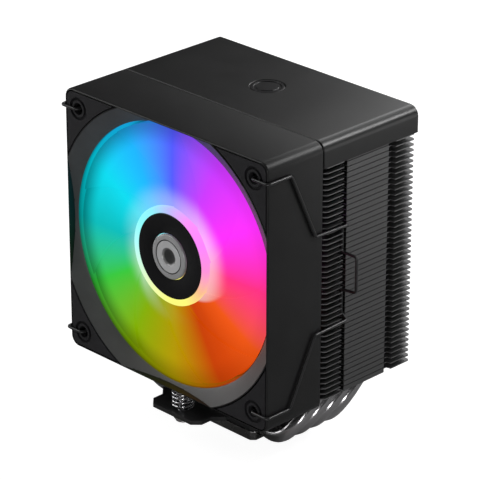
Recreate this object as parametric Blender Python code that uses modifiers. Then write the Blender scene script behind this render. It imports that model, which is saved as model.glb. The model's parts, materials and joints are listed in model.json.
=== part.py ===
"""A tower cooler for a processor, with a lit fan in front of a stack of fins.

Metres, +Z up. The origin is the centre of the cold plate's contact face, X runs across the fan,
and Y runs the way the air goes: the fan's front is at -Y and the fins' back at +Y.
"""

import math

import bmesh
import bpy
from mathutils import Matrix, Vector

MM = 0.001
GAP = 0.3 * MM  # clearance between pieces that touch

# Cold plate and the block over it
BASE_HALF_X = 22.6 * MM
BASE_HALF_Y = 20.5 * MM
BASE_SPLIT_Z = 4.5 * MM
BASE_TOP = 14.0 * MM
BASE_CHAMFER = 2.0 * MM

# Heat pipes
PIPE_RADIUS = 3.0 * MM
PIPE_SEAT_RADIUS = PIPE_RADIUS + GAP
PIPE_COUNT = 4
PIPE_PITCH_BASE = 9.6 * MM
PIPE_PITCH_FINS = 8.8 * MM
PIPE_FIN_X = 48.8 * MM
PIPE_FIN_Y = 8.0 * MM  # middle of the row of pipes in the fins
PIPE_LEAN_Z = 25.5 * MM  # height at which the pipes lean back the most
PIPE_LEAN_Y = 4.6 * MM  # how far they still have to go back from there
PIPE_LEAN = Vector((0.06, 1.0, 1.0))
PIPE_TOP = 142.0 * MM

# Crossbar
BAR_BOTTOM = BASE_TOP + GAP
BAR_TOP = 16.2 * MM
BAR_END_Y = 47.4 * MM
BAR_TAB_HALF_X = 15.1 * MM
BAR_TAB_CHAMFER = 3.4 * MM
BAR_NECK_Y = 38.6 * MM
BAR_HALF_X = 19.5 * MM
BAR_SCREW_X = 14.0 * MM
BAR_SCREW_Y = 9.0 * MM

# Sprung screws
SCREW_Y = 40.5 * MM
SCREW_RADIUS = 2.0 * MM
SCREW_HEAD_RADIUS = 5.2 * MM
SCREW_HEAD_BOTTOM = 25.4 * MM
SCREW_HEAD_TOP = 28.2 * MM
SCREW_TIP = 9.8 * MM
SPRING_RADIUS = 4.4 * MM
SPRING_WIRE_RADIUS = 0.55 * MM
SPRING_TURNS = 2.5

# Fan frame
FAN_HALF_X = 60.7 * MM
FAN_BOTTOM = 29.0 * MM
FAN_TOP = 150.5 * MM
FAN_AXIS_Z = (FAN_BOTTOM + FAN_TOP) / 2
FAN_FRONT = -50.5 * MM
FAN_BACK = -18.7 * MM
FAN_CORNER = 4.5 * MM
HOLE_OFFSET = 52.5 * MM  # the 105 mm hole square of a 120 mm fan
HOLE_RADIUS = 2.7 * MM
BELL_RADIUS = 66.2 * MM
BELL_DEPTH = 4.4 * MM
THROAT_RADIUS = 58.7 * MM
RIM_WALL = 1.3 * MM
PAD_INNER_RADIUS = 67.0 * MM
PAD_GROOVE = 0.6 * MM
PAD_DEPTH = 2.4 * MM
PAD_RING_RADIUS = 5.0 * MM

# Rotor and motor, measured along Y
HUB_RADIUS = 22.0 * MM
HUB_FRONT = -47.8 * MM
HUB_BACK = -28.5 * MM
CAP_RADIUS = 19.0 * MM
BADGE_RADIUS = 10.0 * MM
BLADE_COUNT = 9
BLADE_TIP_RADIUS = 57.2 * MM
BLADE_FRONT = -45.4 * MM
BLADE_BACK = -27.0 * MM
BLADE_THICKNESS = 1.5 * MM
SHAFT_RADIUS = 1.5 * MM
BOARD_FRONT = -26.6 * MM
STRUT_FRONT = -22.8 * MM
STRUT_BACK = -19.4 * MM

# Fin stack
FIN_COUNT = 44
FIN_PITCH = 2.46 * MM
FIN_THICKNESS = 0.5 * MM
FIN_LOWEST = 32.2 * MM
FIN_HALF_X = 59.7 * MM
FIN_FRONT = -17.2 * MM
FIN_BACK = 38.0 * MM
FIN_CHAMFER = 2.6 * MM
WALL_FRONT = -3.6 * MM
WALL_BACK = 21.6 * MM
CLIP_SLOT_BACK = WALL_FRONT + 0.2 * MM
CLIP_SLOT_WIDTH = 2.4 * MM
CLIP_SLOT_DEPTH = 2.2 * MM
REAR_SLOT_WIDTH = 4.0 * MM

# Cover over the fins
COVER_BOTTOM = 139.0 * MM
COVER_FRONT = -18.1 * MM
COVER_BACK = 38.6 * MM
COVER_WALL = 1.8 * MM
EMBLEM_Y = 10.3 * MM
EMBLEM_RADIUS = 7.5 * MM

# Wire clips
WIRE_RADIUS = 0.7 * MM
WIRE_SIDE_X = FAN_HALF_X + WIRE_RADIUS + GAP
CLIP_CENTRE_Z = 88.6 * MM

FINISHES = {  # base colour, roughness, metallic
    "black_plastic": ((0.018, 0.018, 0.019), 0.42, 0.0),
    "black_rubber": ((0.022, 0.021, 0.023), 0.75, 0.0),
    "lit_plastic": ((0.75, 0.78, 0.85), 0.35, 0.0),
    "black_metal": ((0.025, 0.025, 0.027), 0.35, 0.8),
    "black_aluminium": ((0.02, 0.02, 0.022), 0.4, 0.6),
    "bright_steel": ((0.62, 0.62, 0.64), 0.22, 1.0),
    "nickel": ((0.35, 0.35, 0.37), 0.2, 1.0),
    "copper": ((0.72, 0.36, 0.2), 0.35, 1.0),
    "bronze": ((0.5, 0.34, 0.16), 0.4, 1.0),
    "ferrite": ((0.07, 0.07, 0.075), 0.6, 0.3),
    "circuit_board": ((0.02, 0.09, 0.04), 0.5, 0.0),
}


def clear_scene():
    for obj in list(bpy.data.objects):
        bpy.data.objects.remove(obj)


def new_collection(name):
    made = bpy.data.collections.new(name)
    bpy.context.scene.collection.children.link(made)
    return made


clear_scene()
PARTS = new_collection("tower_cooler")
CUTTERS = new_collection("cutters")


def finish(obj, kind, pivot=None):
    """Gives the object a material of its own, smooth shading with crisp edges, and its pivot as origin."""
    colour, roughness, metallic = FINISHES[kind]
    material = bpy.data.materials.new(obj.name)
    material.use_nodes = True
    shader = material.node_tree.nodes["Principled BSDF"]
    shader.inputs["Base Color"].default_value = (*colour, 1.0)
    shader.inputs["Roughness"].default_value = roughness
    shader.inputs["Metallic"].default_value = metallic
    obj.data.materials.clear()
    obj.data.materials.append(material)
    obj.data.shade_smooth()
    obj.data.set_sharp_from_angle(angle=math.radians(35))
    if pivot is not None:
        obj.data.transform(Matrix.Translation(-Vector(pivot)))
        obj.location = pivot
    return obj


def mesh_object(name, mesh, collection=PARTS):
    obj = bpy.data.objects.new(name, mesh)
    collection.objects.link(obj)
    return obj


def from_bmesh(name, shape):
    mesh = bpy.data.meshes.new(name)
    shape.to_mesh(mesh)
    shape.free()
    return mesh_object(name, mesh)


def box(name, low, high):
    shape = bmesh.new()
    bmesh.ops.create_cube(shape, size=1.0)
    size = [b - a for a, b in zip(low, high)]
    middle = [(a + b) / 2 for a, b in zip(low, high)]
    bmesh.ops.scale(shape, vec=size, verts=shape.verts)
    bmesh.ops.translate(shape, vec=middle, verts=shape.verts)
    return from_bmesh(name, shape)


def rod(name, radius, start, end, sides=24, end_radius=None):
    """A cylinder or cone frustum from start to end."""
    start = Vector(start)
    end = Vector(end)
    shape = bmesh.new()
    bmesh.ops.create_cone(
        shape,
        cap_ends=True,
        segments=sides,
        radius1=radius,
        radius2=radius if end_radius is None else end_radius,
        depth=(end - start).length,
    )
    turn = Vector((0, 0, 1)).rotation_difference(end - start).to_matrix().to_4x4()
    place = Matrix.Translation((start + end) / 2) @ turn
    bmesh.ops.transform(shape, matrix=place, verts=shape.verts)
    return from_bmesh(name, shape)


def solidified(obj):
    """The object as a plain mesh in world space, with its modifiers applied and its caps welded."""
    bpy.context.view_layer.update()
    graph = bpy.context.evaluated_depsgraph_get()
    mesh = bpy.data.meshes.new_from_object(obj.evaluated_get(graph))
    mesh.transform(obj.matrix_world)
    name = obj.name
    bpy.data.objects.remove(obj)
    shape = bmesh.new()
    shape.from_mesh(mesh)
    bmesh.ops.remove_doubles(shape, verts=shape.verts, dist=1e-7)
    bmesh.ops.recalc_face_normals(shape, faces=shape.faces)
    shape.to_mesh(mesh)
    shape.free()
    mesh.materials.clear()
    made = mesh_object(name, mesh)
    made.name = name
    return made


def turned(name, profile, sides=32, centre=(0, 0, 0), along_y=False):
    """A solid turned from (radius, height) points, which run down its outer side from the top.

    Heights are along +Z from the centre, or with along_y they are along +Y.
    """
    mesh = bpy.data.meshes.new(name)
    points = [(radius, 0, height) for radius, height in profile]
    edges = [(i, i + 1) for i in range(len(points) - 1) if profile[i][0] > 0 or profile[i + 1][0] > 0]
    if profile[0][0] > 0 or profile[-1][0] > 0:
        edges.append((len(points) - 1, 0))
    mesh.from_pydata(points, edges, [])
    obj = mesh_object(name, mesh)
    screw = obj.modifiers.new("turn", "SCREW")
    screw.axis = "Z"
    screw.steps = sides
    screw.render_steps = sides
    screw.use_merge_vertices = True
    screw.merge_threshold = 1e-5
    if along_y:
        obj.rotation_euler = (math.radians(-90), 0, 0)
    obj.location = centre
    return solidified(obj)


def along_fan(y):
    return (0, y, FAN_AXIS_Z)


def turned_about_fan(angle):
    """Takes a shape made about the Y axis to the fan's axis, turned by an angle in degrees."""
    return Matrix.Translation((0, 0, FAN_AXIS_Z)) @ Matrix.Rotation(math.radians(angle), 4, "Y")


def fan_turned(name, profile, sides=32):
    """Turned about the fan's axis, from (radius, y) points that run from the back forwards."""
    return turned(name, profile, sides, (0, 0, FAN_AXIS_Z), along_y=True)


def ring_profile(inner, outer, front, back):
    return [(outer, back), (outer, front), (inner, front), (inner, back)]


def outline_curve(name, loops, thickness):
    """A flat shape in local XY with straight sides, as thick as asked, its first loop the outside."""
    curve = bpy.data.curves.new(name, "CURVE")
    curve.dimensions = "2D"
    curve.fill_mode = "BOTH"
    curve.extrude = thickness / 2
    for loop in loops:
        spline = curve.splines.new("POLY")
        spline.points.add(len(loop) - 1)
        for point, (x, y) in zip(spline.points, loop):
            point.co = (x, y, 0, 1)
        spline.use_cyclic_u = True
    return mesh_object(name, curve)


def flat_plate(name, loops, low, high):
    """Outline in X and Y, between two heights."""
    obj = outline_curve(name, loops, high - low)
    obj.location.z = (low + high) / 2
    return solidified(obj)


def upright_plate(name, loops, front, back):
    """Outline in X and Z, between two places along Y."""
    obj = outline_curve(name, loops, back - front)
    obj.rotation_euler = (math.radians(90), 0, 0)
    obj.location.y = (front + back) / 2
    return solidified(obj)


def arc(centre, radius, start, end, steps):
    """Points on an arc, in degrees."""
    points = []
    for i in range(steps + 1):
        angle = math.radians(start + (end - start) * i / steps)
        points.append((centre[0] + radius * math.cos(angle), centre[1] + radius * math.sin(angle)))
    return points


def circle(centre, radius, sides):
    return arc(centre, radius, 0, 360 * (sides - 1) / sides, sides - 1)


def rounded_rectangle(left, right, bottom, top, radius, steps=4):
    corners = [(right, top, 0), (left, top, 90), (left, bottom, 180), (right, bottom, 270)]
    points = []
    for x, y, start in corners:
        centre = (x - math.copysign(radius, x - (left + right) / 2), y - radius if y == top else y + radius)
        points += arc(centre, radius, start, start + 90, steps)
    return points


def smooth_path(points, radius_steps=2):
    """Rounds each inner corner of a path of (point, bend radius) pairs with an arc."""
    path = [Vector(points[0][0])]
    for i in range(1, len(points) - 1):
        corner = Vector(points[i][0])
        before = (Vector(points[i - 1][0]) - corner).normalized()
        after = (Vector(points[i + 1][0]) - corner).normalized()
        angle = before.angle(after)
        reach = points[i][1] / math.tan(angle / 2)
        centre = corner + (before + after).normalized() * points[i][1] / math.sin(angle / 2)
        first = corner + before * reach - centre
        last = corner + after * reach - centre
        axis = first.cross(last).normalized()
        sweep = first.angle(last)
        for step in range(radius_steps + 1):
            path.append(centre + Matrix.Rotation(sweep * step / radius_steps, 3, axis) @ first)
    path.append(Vector(points[-1][0]))
    return path


def tube(name, path, radius, resolution=2):
    curve = bpy.data.curves.new(name, "CURVE")
    curve.dimensions = "3D"
    curve.bevel_depth = radius
    curve.bevel_resolution = resolution
    curve.use_fill_caps = True
    spline = curve.splines.new("POLY")
    spline.points.add(len(path) - 1)
    for point, place in zip(spline.points, path):
        point.co = (*place, 1)
    return mesh_object(name, curve)


def boolean(obj, other, operation):
    """Joins, cuts or keeps what is common, and applies the result at once."""
    step = obj.modifiers.new(operation.lower(), "BOOLEAN")
    step.operation = operation
    step.object = other
    made = solidified(obj)
    bpy.data.objects.remove(other)
    return made


def cut(obj, *cutters):
    for cutter in cutters:
        obj = boolean(obj, cutter, "DIFFERENCE")
    return obj


def join(obj, *others):
    for other in others:
        obj = boolean(obj, other, "UNION")
    return obj


def merged(name, objects):
    """One mesh that holds several loose shapes, for use as a single cutter or as an operand."""
    shape = bmesh.new()
    for obj in objects:
        shape.from_mesh(obj.data)
        bpy.data.objects.remove(obj)
    return from_bmesh(name, shape)


# Heat pipes


def pipe_rows():
    """(y in the base, y in the fins) of each pipe, front to back."""
    rows = []
    for i in range(PIPE_COUNT):
        step = i - (PIPE_COUNT - 1) / 2
        rows.append((step * PIPE_PITCH_BASE, PIPE_FIN_Y + step * PIPE_PITCH_FINS))
    return rows


def bezier(start, out, back, end, steps):
    points = []
    for i in range(steps + 1):
        t = i / steps
        s = 1 - t
        points.append(s**3 * start + 3 * s * s * t * out + 3 * s * t * t * back + t**3 * end)
    return points


def pipe_bend(y_base, y_fins):
    """Half of a pipe's route: out of the base, round and back, then up into the fins."""
    start = Vector((BASE_HALF_X, y_base, BASE_SPLIT_Z))
    lean = Vector((PIPE_FIN_X - 0.6 * MM, y_fins - PIPE_LEAN_Y, PIPE_LEAN_Z))
    end = Vector((PIPE_FIN_X, y_fins, FIN_LOWEST))
    first = bezier(start, start + Vector((6 * MM, 0, 0)), lean - 18 * MM * PIPE_LEAN, lean, 6)
    second = bezier(lean, lean + 2.4 * MM * PIPE_LEAN, end - Vector((0, 0, 3 * MM)), end, 2)
    return first + second[1:]


def make_heat_pipes():
    for i, (y_base, y_fins) in enumerate(pipe_rows()):
        right = pipe_bend(y_base, y_fins) + [Vector((PIPE_FIN_X, y_fins, PIPE_TOP))]
        left = [Vector((-p.x, p.y, p.z)) for p in reversed(right)]
        pipe = solidified(tube(f"heat_pipe_{i + 1}", left + right, PIPE_RADIUS))
        finish(pipe, "nickel")


# Base


def base_outline(half_x, half_y, chamfer):
    c = chamfer
    return [
        (half_x, half_y - c),
        (half_x - c, half_y),
        (c - half_x, half_y),
        (-half_x, half_y - c),
        (-half_x, c - half_y),
        (c - half_x, -half_y),
        (half_x - c, -half_y),
        (half_x, c - half_y),
    ]


def pipe_grooves():
    reach = BASE_HALF_X + 5 * MM
    grooves = []
    for y_base, _ in pipe_rows():
        start = (-reach, y_base, BASE_SPLIT_Z)
        end = (reach, y_base, BASE_SPLIT_Z)
        grooves.append(rod("groove", PIPE_SEAT_RADIUS, start, end, 16))
    return merged("grooves", grooves)


def bar_screw_places():
    return [(sx * BAR_SCREW_X, sy * BAR_SCREW_Y) for sy in (-1, 1) for sx in (-1, 1)]


def make_base():
    outline = base_outline(BASE_HALF_X, BASE_HALF_Y, BASE_CHAMFER)
    cold_plate = flat_plate("cold_plate", [outline], 0, BASE_SPLIT_Z - GAP / 2)
    finish(cut(cold_plate, pipe_grooves()), "nickel")
    block = flat_plate("pipe_clamp_block", [outline], BASE_SPLIT_Z + GAP / 2, BASE_TOP)
    holes = []
    for x, y in bar_screw_places():
        holes.append(rod("hole", 1.8 * MM, (x, y, BASE_TOP - 5 * MM), (x, y, BASE_TOP + MM), 12))
    finish(cut(block, pipe_grooves(), merged("holes", holes)), "black_aluminium")


# Crossbar and its sprung screws


def crossbar_outline():
    """A quarter of the plate's edge, repeated round: tab end, tab corner, shoulder."""
    tab = BAR_TAB_HALF_X
    shoulder = BAR_NECK_Y - (BAR_HALF_X - tab)
    quarter = [
        (BAR_HALF_X, shoulder),
        (tab, BAR_NECK_Y),
        (tab, BAR_END_Y - BAR_TAB_CHAMFER),
        (tab - BAR_TAB_CHAMFER, BAR_END_Y),
    ]
    back = quarter + [(-x, y) for x, y in reversed(quarter)]
    return back + [(-x, -y) for x, y in back]


def make_crossbar():
    loops = [crossbar_outline()]
    loops += [circle((0, side * SCREW_Y), 3.6 * MM, 12) for side in (-1, 1)]
    loops += [circle(place, 1.8 * MM, 12) for place in bar_screw_places()]
    bar = flat_plate("crossbar", loops, BAR_BOTTOM, BAR_TOP)
    same = bar.modifiers.new("same_front_and_back", "MIRROR")
    same.use_axis = (False, True, False)
    same.use_bisect_axis = (False, True, False)
    same.merge_threshold = 1e-6
    finish(solidified(bar), "black_metal")


def cross_recess(x, y, top, reach, depth):
    """Two crossed slots for a screwdriver."""
    half = 0.55 * MM
    one = box("slot", (x - reach, y - half, top - depth), (x + reach, y + half, top + MM))
    two = box("slot", (x - half, y - reach, top - depth), (x + half, y + reach, top + MM))
    return one, two


def make_crossbar_screws():
    for i, (x, y) in enumerate(bar_screw_places()):
        profile = [
            (0, BAR_TOP + 1.9 * MM),
            (2.0 * MM, BAR_TOP + 1.7 * MM),
            (2.8 * MM, BAR_TOP + GAP),
            (1.5 * MM, BAR_TOP + GAP),
            (1.5 * MM, BASE_TOP - 4.4 * MM),
            (0, BASE_TOP - 4.4 * MM),
        ]
        screw = turned(f"crossbar_screw_{i + 1}", profile, 12, (x, y, 0))
        recess = cross_recess(x, y, BAR_TOP + 1.9 * MM, 1.3 * MM, 0.8 * MM)
        finish(cut(screw, *recess), "black_metal")


def make_bush(name, y):
    """Flanged sleeve pressed into the crossbar from below, which guides the screw."""
    sleeve = 3.2 * MM
    flange = 4.2 * MM
    bore = 2.3 * MM
    low = 11.2 * MM
    profile = [
        (sleeve, BAR_TOP - 0.2 * MM),
        (sleeve, BASE_TOP),
        (flange, BASE_TOP),
        (flange, low),
        (bore, low),
        (bore, BAR_TOP - 0.2 * MM),
    ]
    finish(turned(name, profile, 16, (0, y, 0)), "bright_steel")


def make_sprung_screw(name, y):
    profile = [
        (0, SCREW_HEAD_TOP),
        (SCREW_HEAD_RADIUS - 0.8 * MM, SCREW_HEAD_TOP),
        (SCREW_HEAD_RADIUS, SCREW_HEAD_TOP - 0.8 * MM),
        (SCREW_HEAD_RADIUS, SCREW_HEAD_BOTTOM),
        (3.0 * MM, SCREW_HEAD_BOTTOM),
        (3.0 * MM, SCREW_HEAD_BOTTOM - 2.6 * MM),
        (SCREW_RADIUS, SCREW_HEAD_BOTTOM - 2.6 * MM),
        (SCREW_RADIUS, SCREW_TIP + 0.8 * MM),
        (SCREW_RADIUS - 0.7 * MM, SCREW_TIP),
        (0, SCREW_TIP),
    ]
    screw = turned(name, profile, 16, (0, y, 0))
    recess = cross_recess(0, y, SCREW_HEAD_TOP, 2.6 * MM, 1.2 * MM)
    finish(cut(screw, *recess), "bright_steel", (0, y, SCREW_HEAD_BOTTOM))


def make_screw_clip(name, y):
    """Split washer in the screw's groove, which stops the spring from pushing the screw out."""
    top = 10.9 * MM
    profile = [(3.4 * MM, top), (3.4 * MM, top - 0.7 * MM), (2.3 * MM, top - 0.7 * MM), (2.3 * MM, top)]
    ring = turned(name, profile, 16, (0, y, 0))
    mouth = box("mouth", (-0.9 * MM, y + 1.0 * MM, top - MM), (0.9 * MM, y + 5 * MM, top + MM))
    finish(cut(ring, mouth), "bright_steel", (0, y, top))


def make_spring(name, y):
    """Compression spring with a closed turn at each end."""
    low = BAR_TOP + GAP + SPRING_WIRE_RADIUS
    high = SCREW_HEAD_BOTTOM - GAP - SPRING_WIRE_RADIUS
    closed_rise = 2.15 * SPRING_WIRE_RADIUS
    per_turn = 8
    turns = SPRING_TURNS + 2
    path = []
    for i in range(int(turns * per_turn) + 1):
        turn = i / per_turn
        middle = min(max(turn - 1, 0), SPRING_TURNS)
        ends = min(turn, 1) + max(turn - 1 - SPRING_TURNS, 0)
        z = low + closed_rise * ends + (high - low - 2 * closed_rise) * middle / SPRING_TURNS
        angle = 2 * math.pi * turn
        path.append((SPRING_RADIUS * math.cos(angle), y + SPRING_RADIUS * math.sin(angle), z))
    finish(solidified(tube(name, path, SPRING_WIRE_RADIUS, 1)), "bright_steel")


def make_fixings():
    make_crossbar_screws()
    for side, y in (("front", -SCREW_Y), ("rear", SCREW_Y)):
        make_bush(f"screw_bush_{side}", y)
        make_sprung_screw(f"sprung_screw_{side}", y)
        make_screw_clip(f"screw_clip_{side}", y)
        make_spring(f"screw_spring_{side}", y)


# Fins and cover


def fin_outline():
    """Right half from the front middle to the back middle, then its mirror."""
    side = FIN_HALF_X
    slot_front = CLIP_SLOT_BACK - CLIP_SLOT_WIDTH
    right = [
        (side - FIN_CHAMFER, FIN_FRONT),
        (side, FIN_FRONT + FIN_CHAMFER),
        (side, slot_front - 0.3 * MM),
        (side - CLIP_SLOT_DEPTH, slot_front),
        (side - CLIP_SLOT_DEPTH, CLIP_SLOT_BACK),
        (side, CLIP_SLOT_BACK + 0.3 * MM),
        (side, WALL_BACK),
        (side - CLIP_SLOT_DEPTH, WALL_BACK + 0.5 * MM),
        (side - CLIP_SLOT_DEPTH, WALL_BACK + REAR_SLOT_WIDTH),
        (side, WALL_BACK + REAR_SLOT_WIDTH + 0.5 * MM),
        (side, FIN_BACK),
    ]
    return right + [(-x, y) for x, y in reversed(right)]


def pipe_window(side):
    """Opening along one row of pipes, which hugs them in front, behind and at the sides."""
    ys = [y_fins for _, y_fins in pipe_rows()]
    reach = PIPE_SEAT_RADIUS
    x = side * PIPE_FIN_X
    low = ys[0] - reach
    high = ys[-1] + reach
    return [(x - reach, low), (x + reach, low), (x + reach, high), (x - reach, high)]


def make_fin_stack():
    plates = []
    for i in range(FIN_COUNT):
        low = FIN_LOWEST + i * FIN_PITCH
        plates.append(flat_plate("plate", [fin_outline()], low, low + FIN_THICKNESS))
    stack = merged("fin_stack", plates)
    top = FIN_LOWEST + (FIN_COUNT - 1) * FIN_PITCH + 0.4 * MM
    low = FIN_LOWEST + 0.1 * MM
    for side in (-1, 1):
        outer = side * (FIN_HALF_X + 0.05 * MM)
        inner = side * (FIN_HALF_X - 0.6 * MM)
        front = CLIP_SLOT_BACK - 0.05 * MM
        back = WALL_BACK + 0.2 * MM
        stack = join(stack, box("wall", (min(outer, inner), front, low), (max(outer, inner), back, top)))
        window = flat_plate("window", [pipe_window(side)], FIN_LOWEST - MM, COVER_BOTTOM)
        stack = cut(stack, window)
    stack.name = "fin_stack"
    finish(stack, "black_aluminium")


def cover_shell_outline(inset):
    half = FAN_HALF_X - inset
    radius = FAN_CORNER - inset
    top = FAN_TOP - inset
    right = [(half, COVER_BOTTOM)] + arc((half - radius, top - radius), radius, 0, 90, 5)
    return right + [(-x, z) for x, z in reversed(right)]


def make_cover():
    """Cap over the fins: open below, with sockets that grip four pipe ends."""
    cover = upright_plate("top_cover", [cover_shell_outline(0)], COVER_FRONT, COVER_BACK)
    inner = cover_shell_outline(COVER_WALL)
    inner[0] = (inner[0][0], COVER_BOTTOM - MM)
    inner[-1] = (inner[-1][0], COVER_BOTTOM - MM)
    hollow = upright_plate("hollow", [inner], COVER_FRONT + COVER_WALL, COVER_BACK - COVER_WALL)
    cover = cut(cover, hollow)
    rows = pipe_rows()
    under = FAN_TOP - COVER_WALL
    for y in (rows[0][1], rows[-1][1]):
        for side in (-1, 1):
            x = side * PIPE_FIN_X
            boss = rod("boss", 5.0 * MM, (x, y, COVER_BOTTOM + 1.2 * MM), (x, y, under + 0.5 * MM), 12)
            cover = join(cover, boss)
            socket = rod("socket", 3.5 * MM, (x, y, COVER_BOTTOM), (x, y, under - 1.5 * MM), 12)
            cover = cut(cover, socket)
    place = (0, EMBLEM_Y, FAN_TOP)
    floor = (0, EMBLEM_Y, FAN_TOP - 0.9 * MM)
    above = (0, EMBLEM_Y, FAN_TOP + MM)
    cover = cut(cover, rod("recess", EMBLEM_RADIUS + GAP, floor, above, 32))
    finish(cover, "black_plastic")
    low = -0.6 * MM
    profile = [
        (0, -0.05 * MM),
        (EMBLEM_RADIUS - 0.2 * MM, -0.05 * MM),
        (EMBLEM_RADIUS, -0.25 * MM),
        (EMBLEM_RADIUS, low),
        (0, low),
    ]
    finish(turned("cover_emblem", profile, 32, place), "black_plastic")


# Fan


def frame_outline():
    return rounded_rectangle(-FAN_HALF_X, FAN_HALF_X, FAN_BOTTOM, FAN_TOP, FAN_CORNER)


def bell_cutter():
    """The flared front of the air way, cut off inside the thin rim at the middle of each side."""
    front = FAN_FRONT - MM
    slope = (BELL_RADIUS - THROAT_RADIUS) / BELL_DEPTH
    profile = [
        (0, FAN_FRONT + BELL_DEPTH),
        (THROAT_RADIUS, FAN_FRONT + BELL_DEPTH),
        (BELL_RADIUS + slope * MM, front),
        (0, front),
    ]
    bell = fan_turned("bell", profile, 48)
    half = FAN_HALF_X - RIM_WALL
    low = (-half, front - MM, FAN_BOTTOM + RIM_WALL)
    high = (half, FAN_FRONT + BELL_DEPTH + MM, FAN_TOP - RIM_WALL)
    return boolean(bell, box("inside_rim", low, high), "INTERSECT")


def pad_outline(side_x, side_z, inner_radius, inset):
    """Corner area between the rim and an arc about the fan's axis, in X and Z."""
    edge_x = FAN_HALF_X - inset
    edge_z = (FAN_TOP - FAN_BOTTOM) / 2 - inset
    corner = FAN_CORNER - inset
    end_x = math.sqrt(inner_radius**2 - edge_z**2)
    end_z = math.sqrt(inner_radius**2 - edge_x**2)
    first = math.degrees(math.atan2(end_z, edge_x))
    last = math.degrees(math.atan2(edge_z, end_x))
    points = arc((0, 0), inner_radius, last, first, 6)
    points += arc((edge_x - corner, edge_z - corner), corner, 0, 90, 2)
    return [(side_x * x, FAN_AXIS_Z + side_z * z) for x, z in points]


def corner_signs():
    return [(sx, sz) for sz in (-1, 1) for sx in (-1, 1)]


def pad_pockets():
    pockets = []
    for sx, sz in corner_signs():
        outline = pad_outline(sx, sz, PAD_INNER_RADIUS - PAD_GROOVE, RIM_WALL - PAD_GROOVE / 2)
        pockets.append(upright_plate("pocket", [outline], FAN_FRONT - MM, FAN_FRONT + PAD_DEPTH))
    return merged("pockets", pockets)


def clip_holes():
    holes = []
    for sx, sz in corner_signs():
        x = sx * HOLE_OFFSET
        z = FAN_AXIS_Z + sz * HOLE_OFFSET
        holes.append(rod("hole", HOLE_RADIUS, (x, FAN_FRONT - MM, z), (x, FAN_BACK + MM, z), 12))
    return merged("clip_holes", holes)


def strut(angle, width):
    """One arm from the motor holder to the frame, behind the blades."""
    inner = 18 * MM
    outer = THROAT_RADIUS + 1.0 * MM
    arm = box("strut", (inner, STRUT_FRONT, -width / 2), (outer, STRUT_BACK, width / 2))
    arm.data.transform(turned_about_fan(angle))
    return arm


def motor_holder():
    """Round plate behind the motor with the bearing tube standing on it."""
    profile = [
        (22.5 * MM, STRUT_BACK),
        (22.5 * MM, STRUT_FRONT),
        (5.6 * MM, STRUT_FRONT),
        (5.6 * MM, -39.0 * MM),
        (4.3 * MM, -39.0 * MM),
        (4.3 * MM, STRUT_BACK),
    ]
    return fan_turned("motor_holder", profile, 32)


def make_fan_frame():
    frame = upright_plate("fan_frame", [frame_outline()], FAN_FRONT, FAN_BACK)
    throat = rod("throat", THROAT_RADIUS, along_fan(FAN_FRONT - MM), along_fan(FAN_BACK + MM), 48)
    frame = cut(frame, throat, bell_cutter(), pad_pockets(), clip_holes())
    for angle, width in ((35, 8 * MM), (125, 4 * MM), (215, 4 * MM), (305, 4 * MM)):
        frame = join(frame, strut(angle, width))
    frame = join(frame, motor_holder())
    low = (40 * MM, STRUT_FRONT, FAN_BOTTOM - MM)
    high = (46 * MM, FAN_BACK + MM, FAN_BOTTOM + 8 * MM)
    frame = cut(frame, box("outlet", low, high))
    frame.name = "fan_frame"
    finish(frame, "black_plastic")


def make_pads():
    for sx, sz in corner_signs():
        name = f"corner_pad_{'upper' if sz > 0 else 'lower'}_{'right' if sx > 0 else 'left'}"
        outline = pad_outline(sx, sz, PAD_INNER_RADIUS, RIM_WALL + PAD_GROOVE / 2)
        pad = upright_plate(name, [outline], FAN_FRONT, FAN_FRONT + PAD_DEPTH - GAP)
        x = sx * HOLE_OFFSET
        z = FAN_AXIS_Z + sz * HOLE_OFFSET
        hole = rod("hole", HOLE_RADIUS, (x, FAN_FRONT - MM, z), (x, FAN_FRONT + 5 * MM, z), 12)
        ring = rod("ring", PAD_RING_RADIUS, (x, FAN_FRONT - MM, z), (x, FAN_FRONT + 1.1 * MM, z), 16)
        finish(cut(pad, hole, ring), "black_rubber")


def blade(index):
    """A twisted blade from hub to tip, as an open sheet that is then given its thickness."""
    radial_steps = 4
    chord_steps = 4
    root = HUB_RADIUS - 0.7 * MM
    points = []
    for i in range(radial_steps + 1):
        out = i / radial_steps
        radius = root + (BLADE_TIP_RADIUS - root) * out
        sweep = -40 * out**0.8
        half_span = 15 + 4.5 * out
        for j in range(chord_steps + 1):
            along = j / chord_steps
            angle = math.radians(360 * index / BLADE_COUNT + sweep - half_span + 2 * half_span * along)
            camber = 1.1 * math.sin(math.pi * along)
            rise = 0.5 - 0.5 * math.cos(math.pi * (0.12 + 0.76 * along))
            depth = BLADE_FRONT + (BLADE_BACK - BLADE_FRONT) * rise * (1 - 0.22 * out)
            depth += 1.5 * MM * out - camber * MM
            points.append((radius * math.sin(angle), depth, FAN_AXIS_Z + radius * math.cos(angle)))
    faces = []
    across = chord_steps + 1
    for i in range(radial_steps):
        for j in range(chord_steps):
            corner = i * across + j
            faces.append((corner, corner + 1, corner + across + 1, corner + across))
    mesh = bpy.data.meshes.new("blade")
    mesh.from_pydata(points, [], faces)
    obj = mesh_object("blade", mesh)
    thick = obj.modifiers.new("thickness", "SOLIDIFY")
    thick.thickness = BLADE_THICKNESS
    thick.offset = 0
    return solidified(obj)


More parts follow.
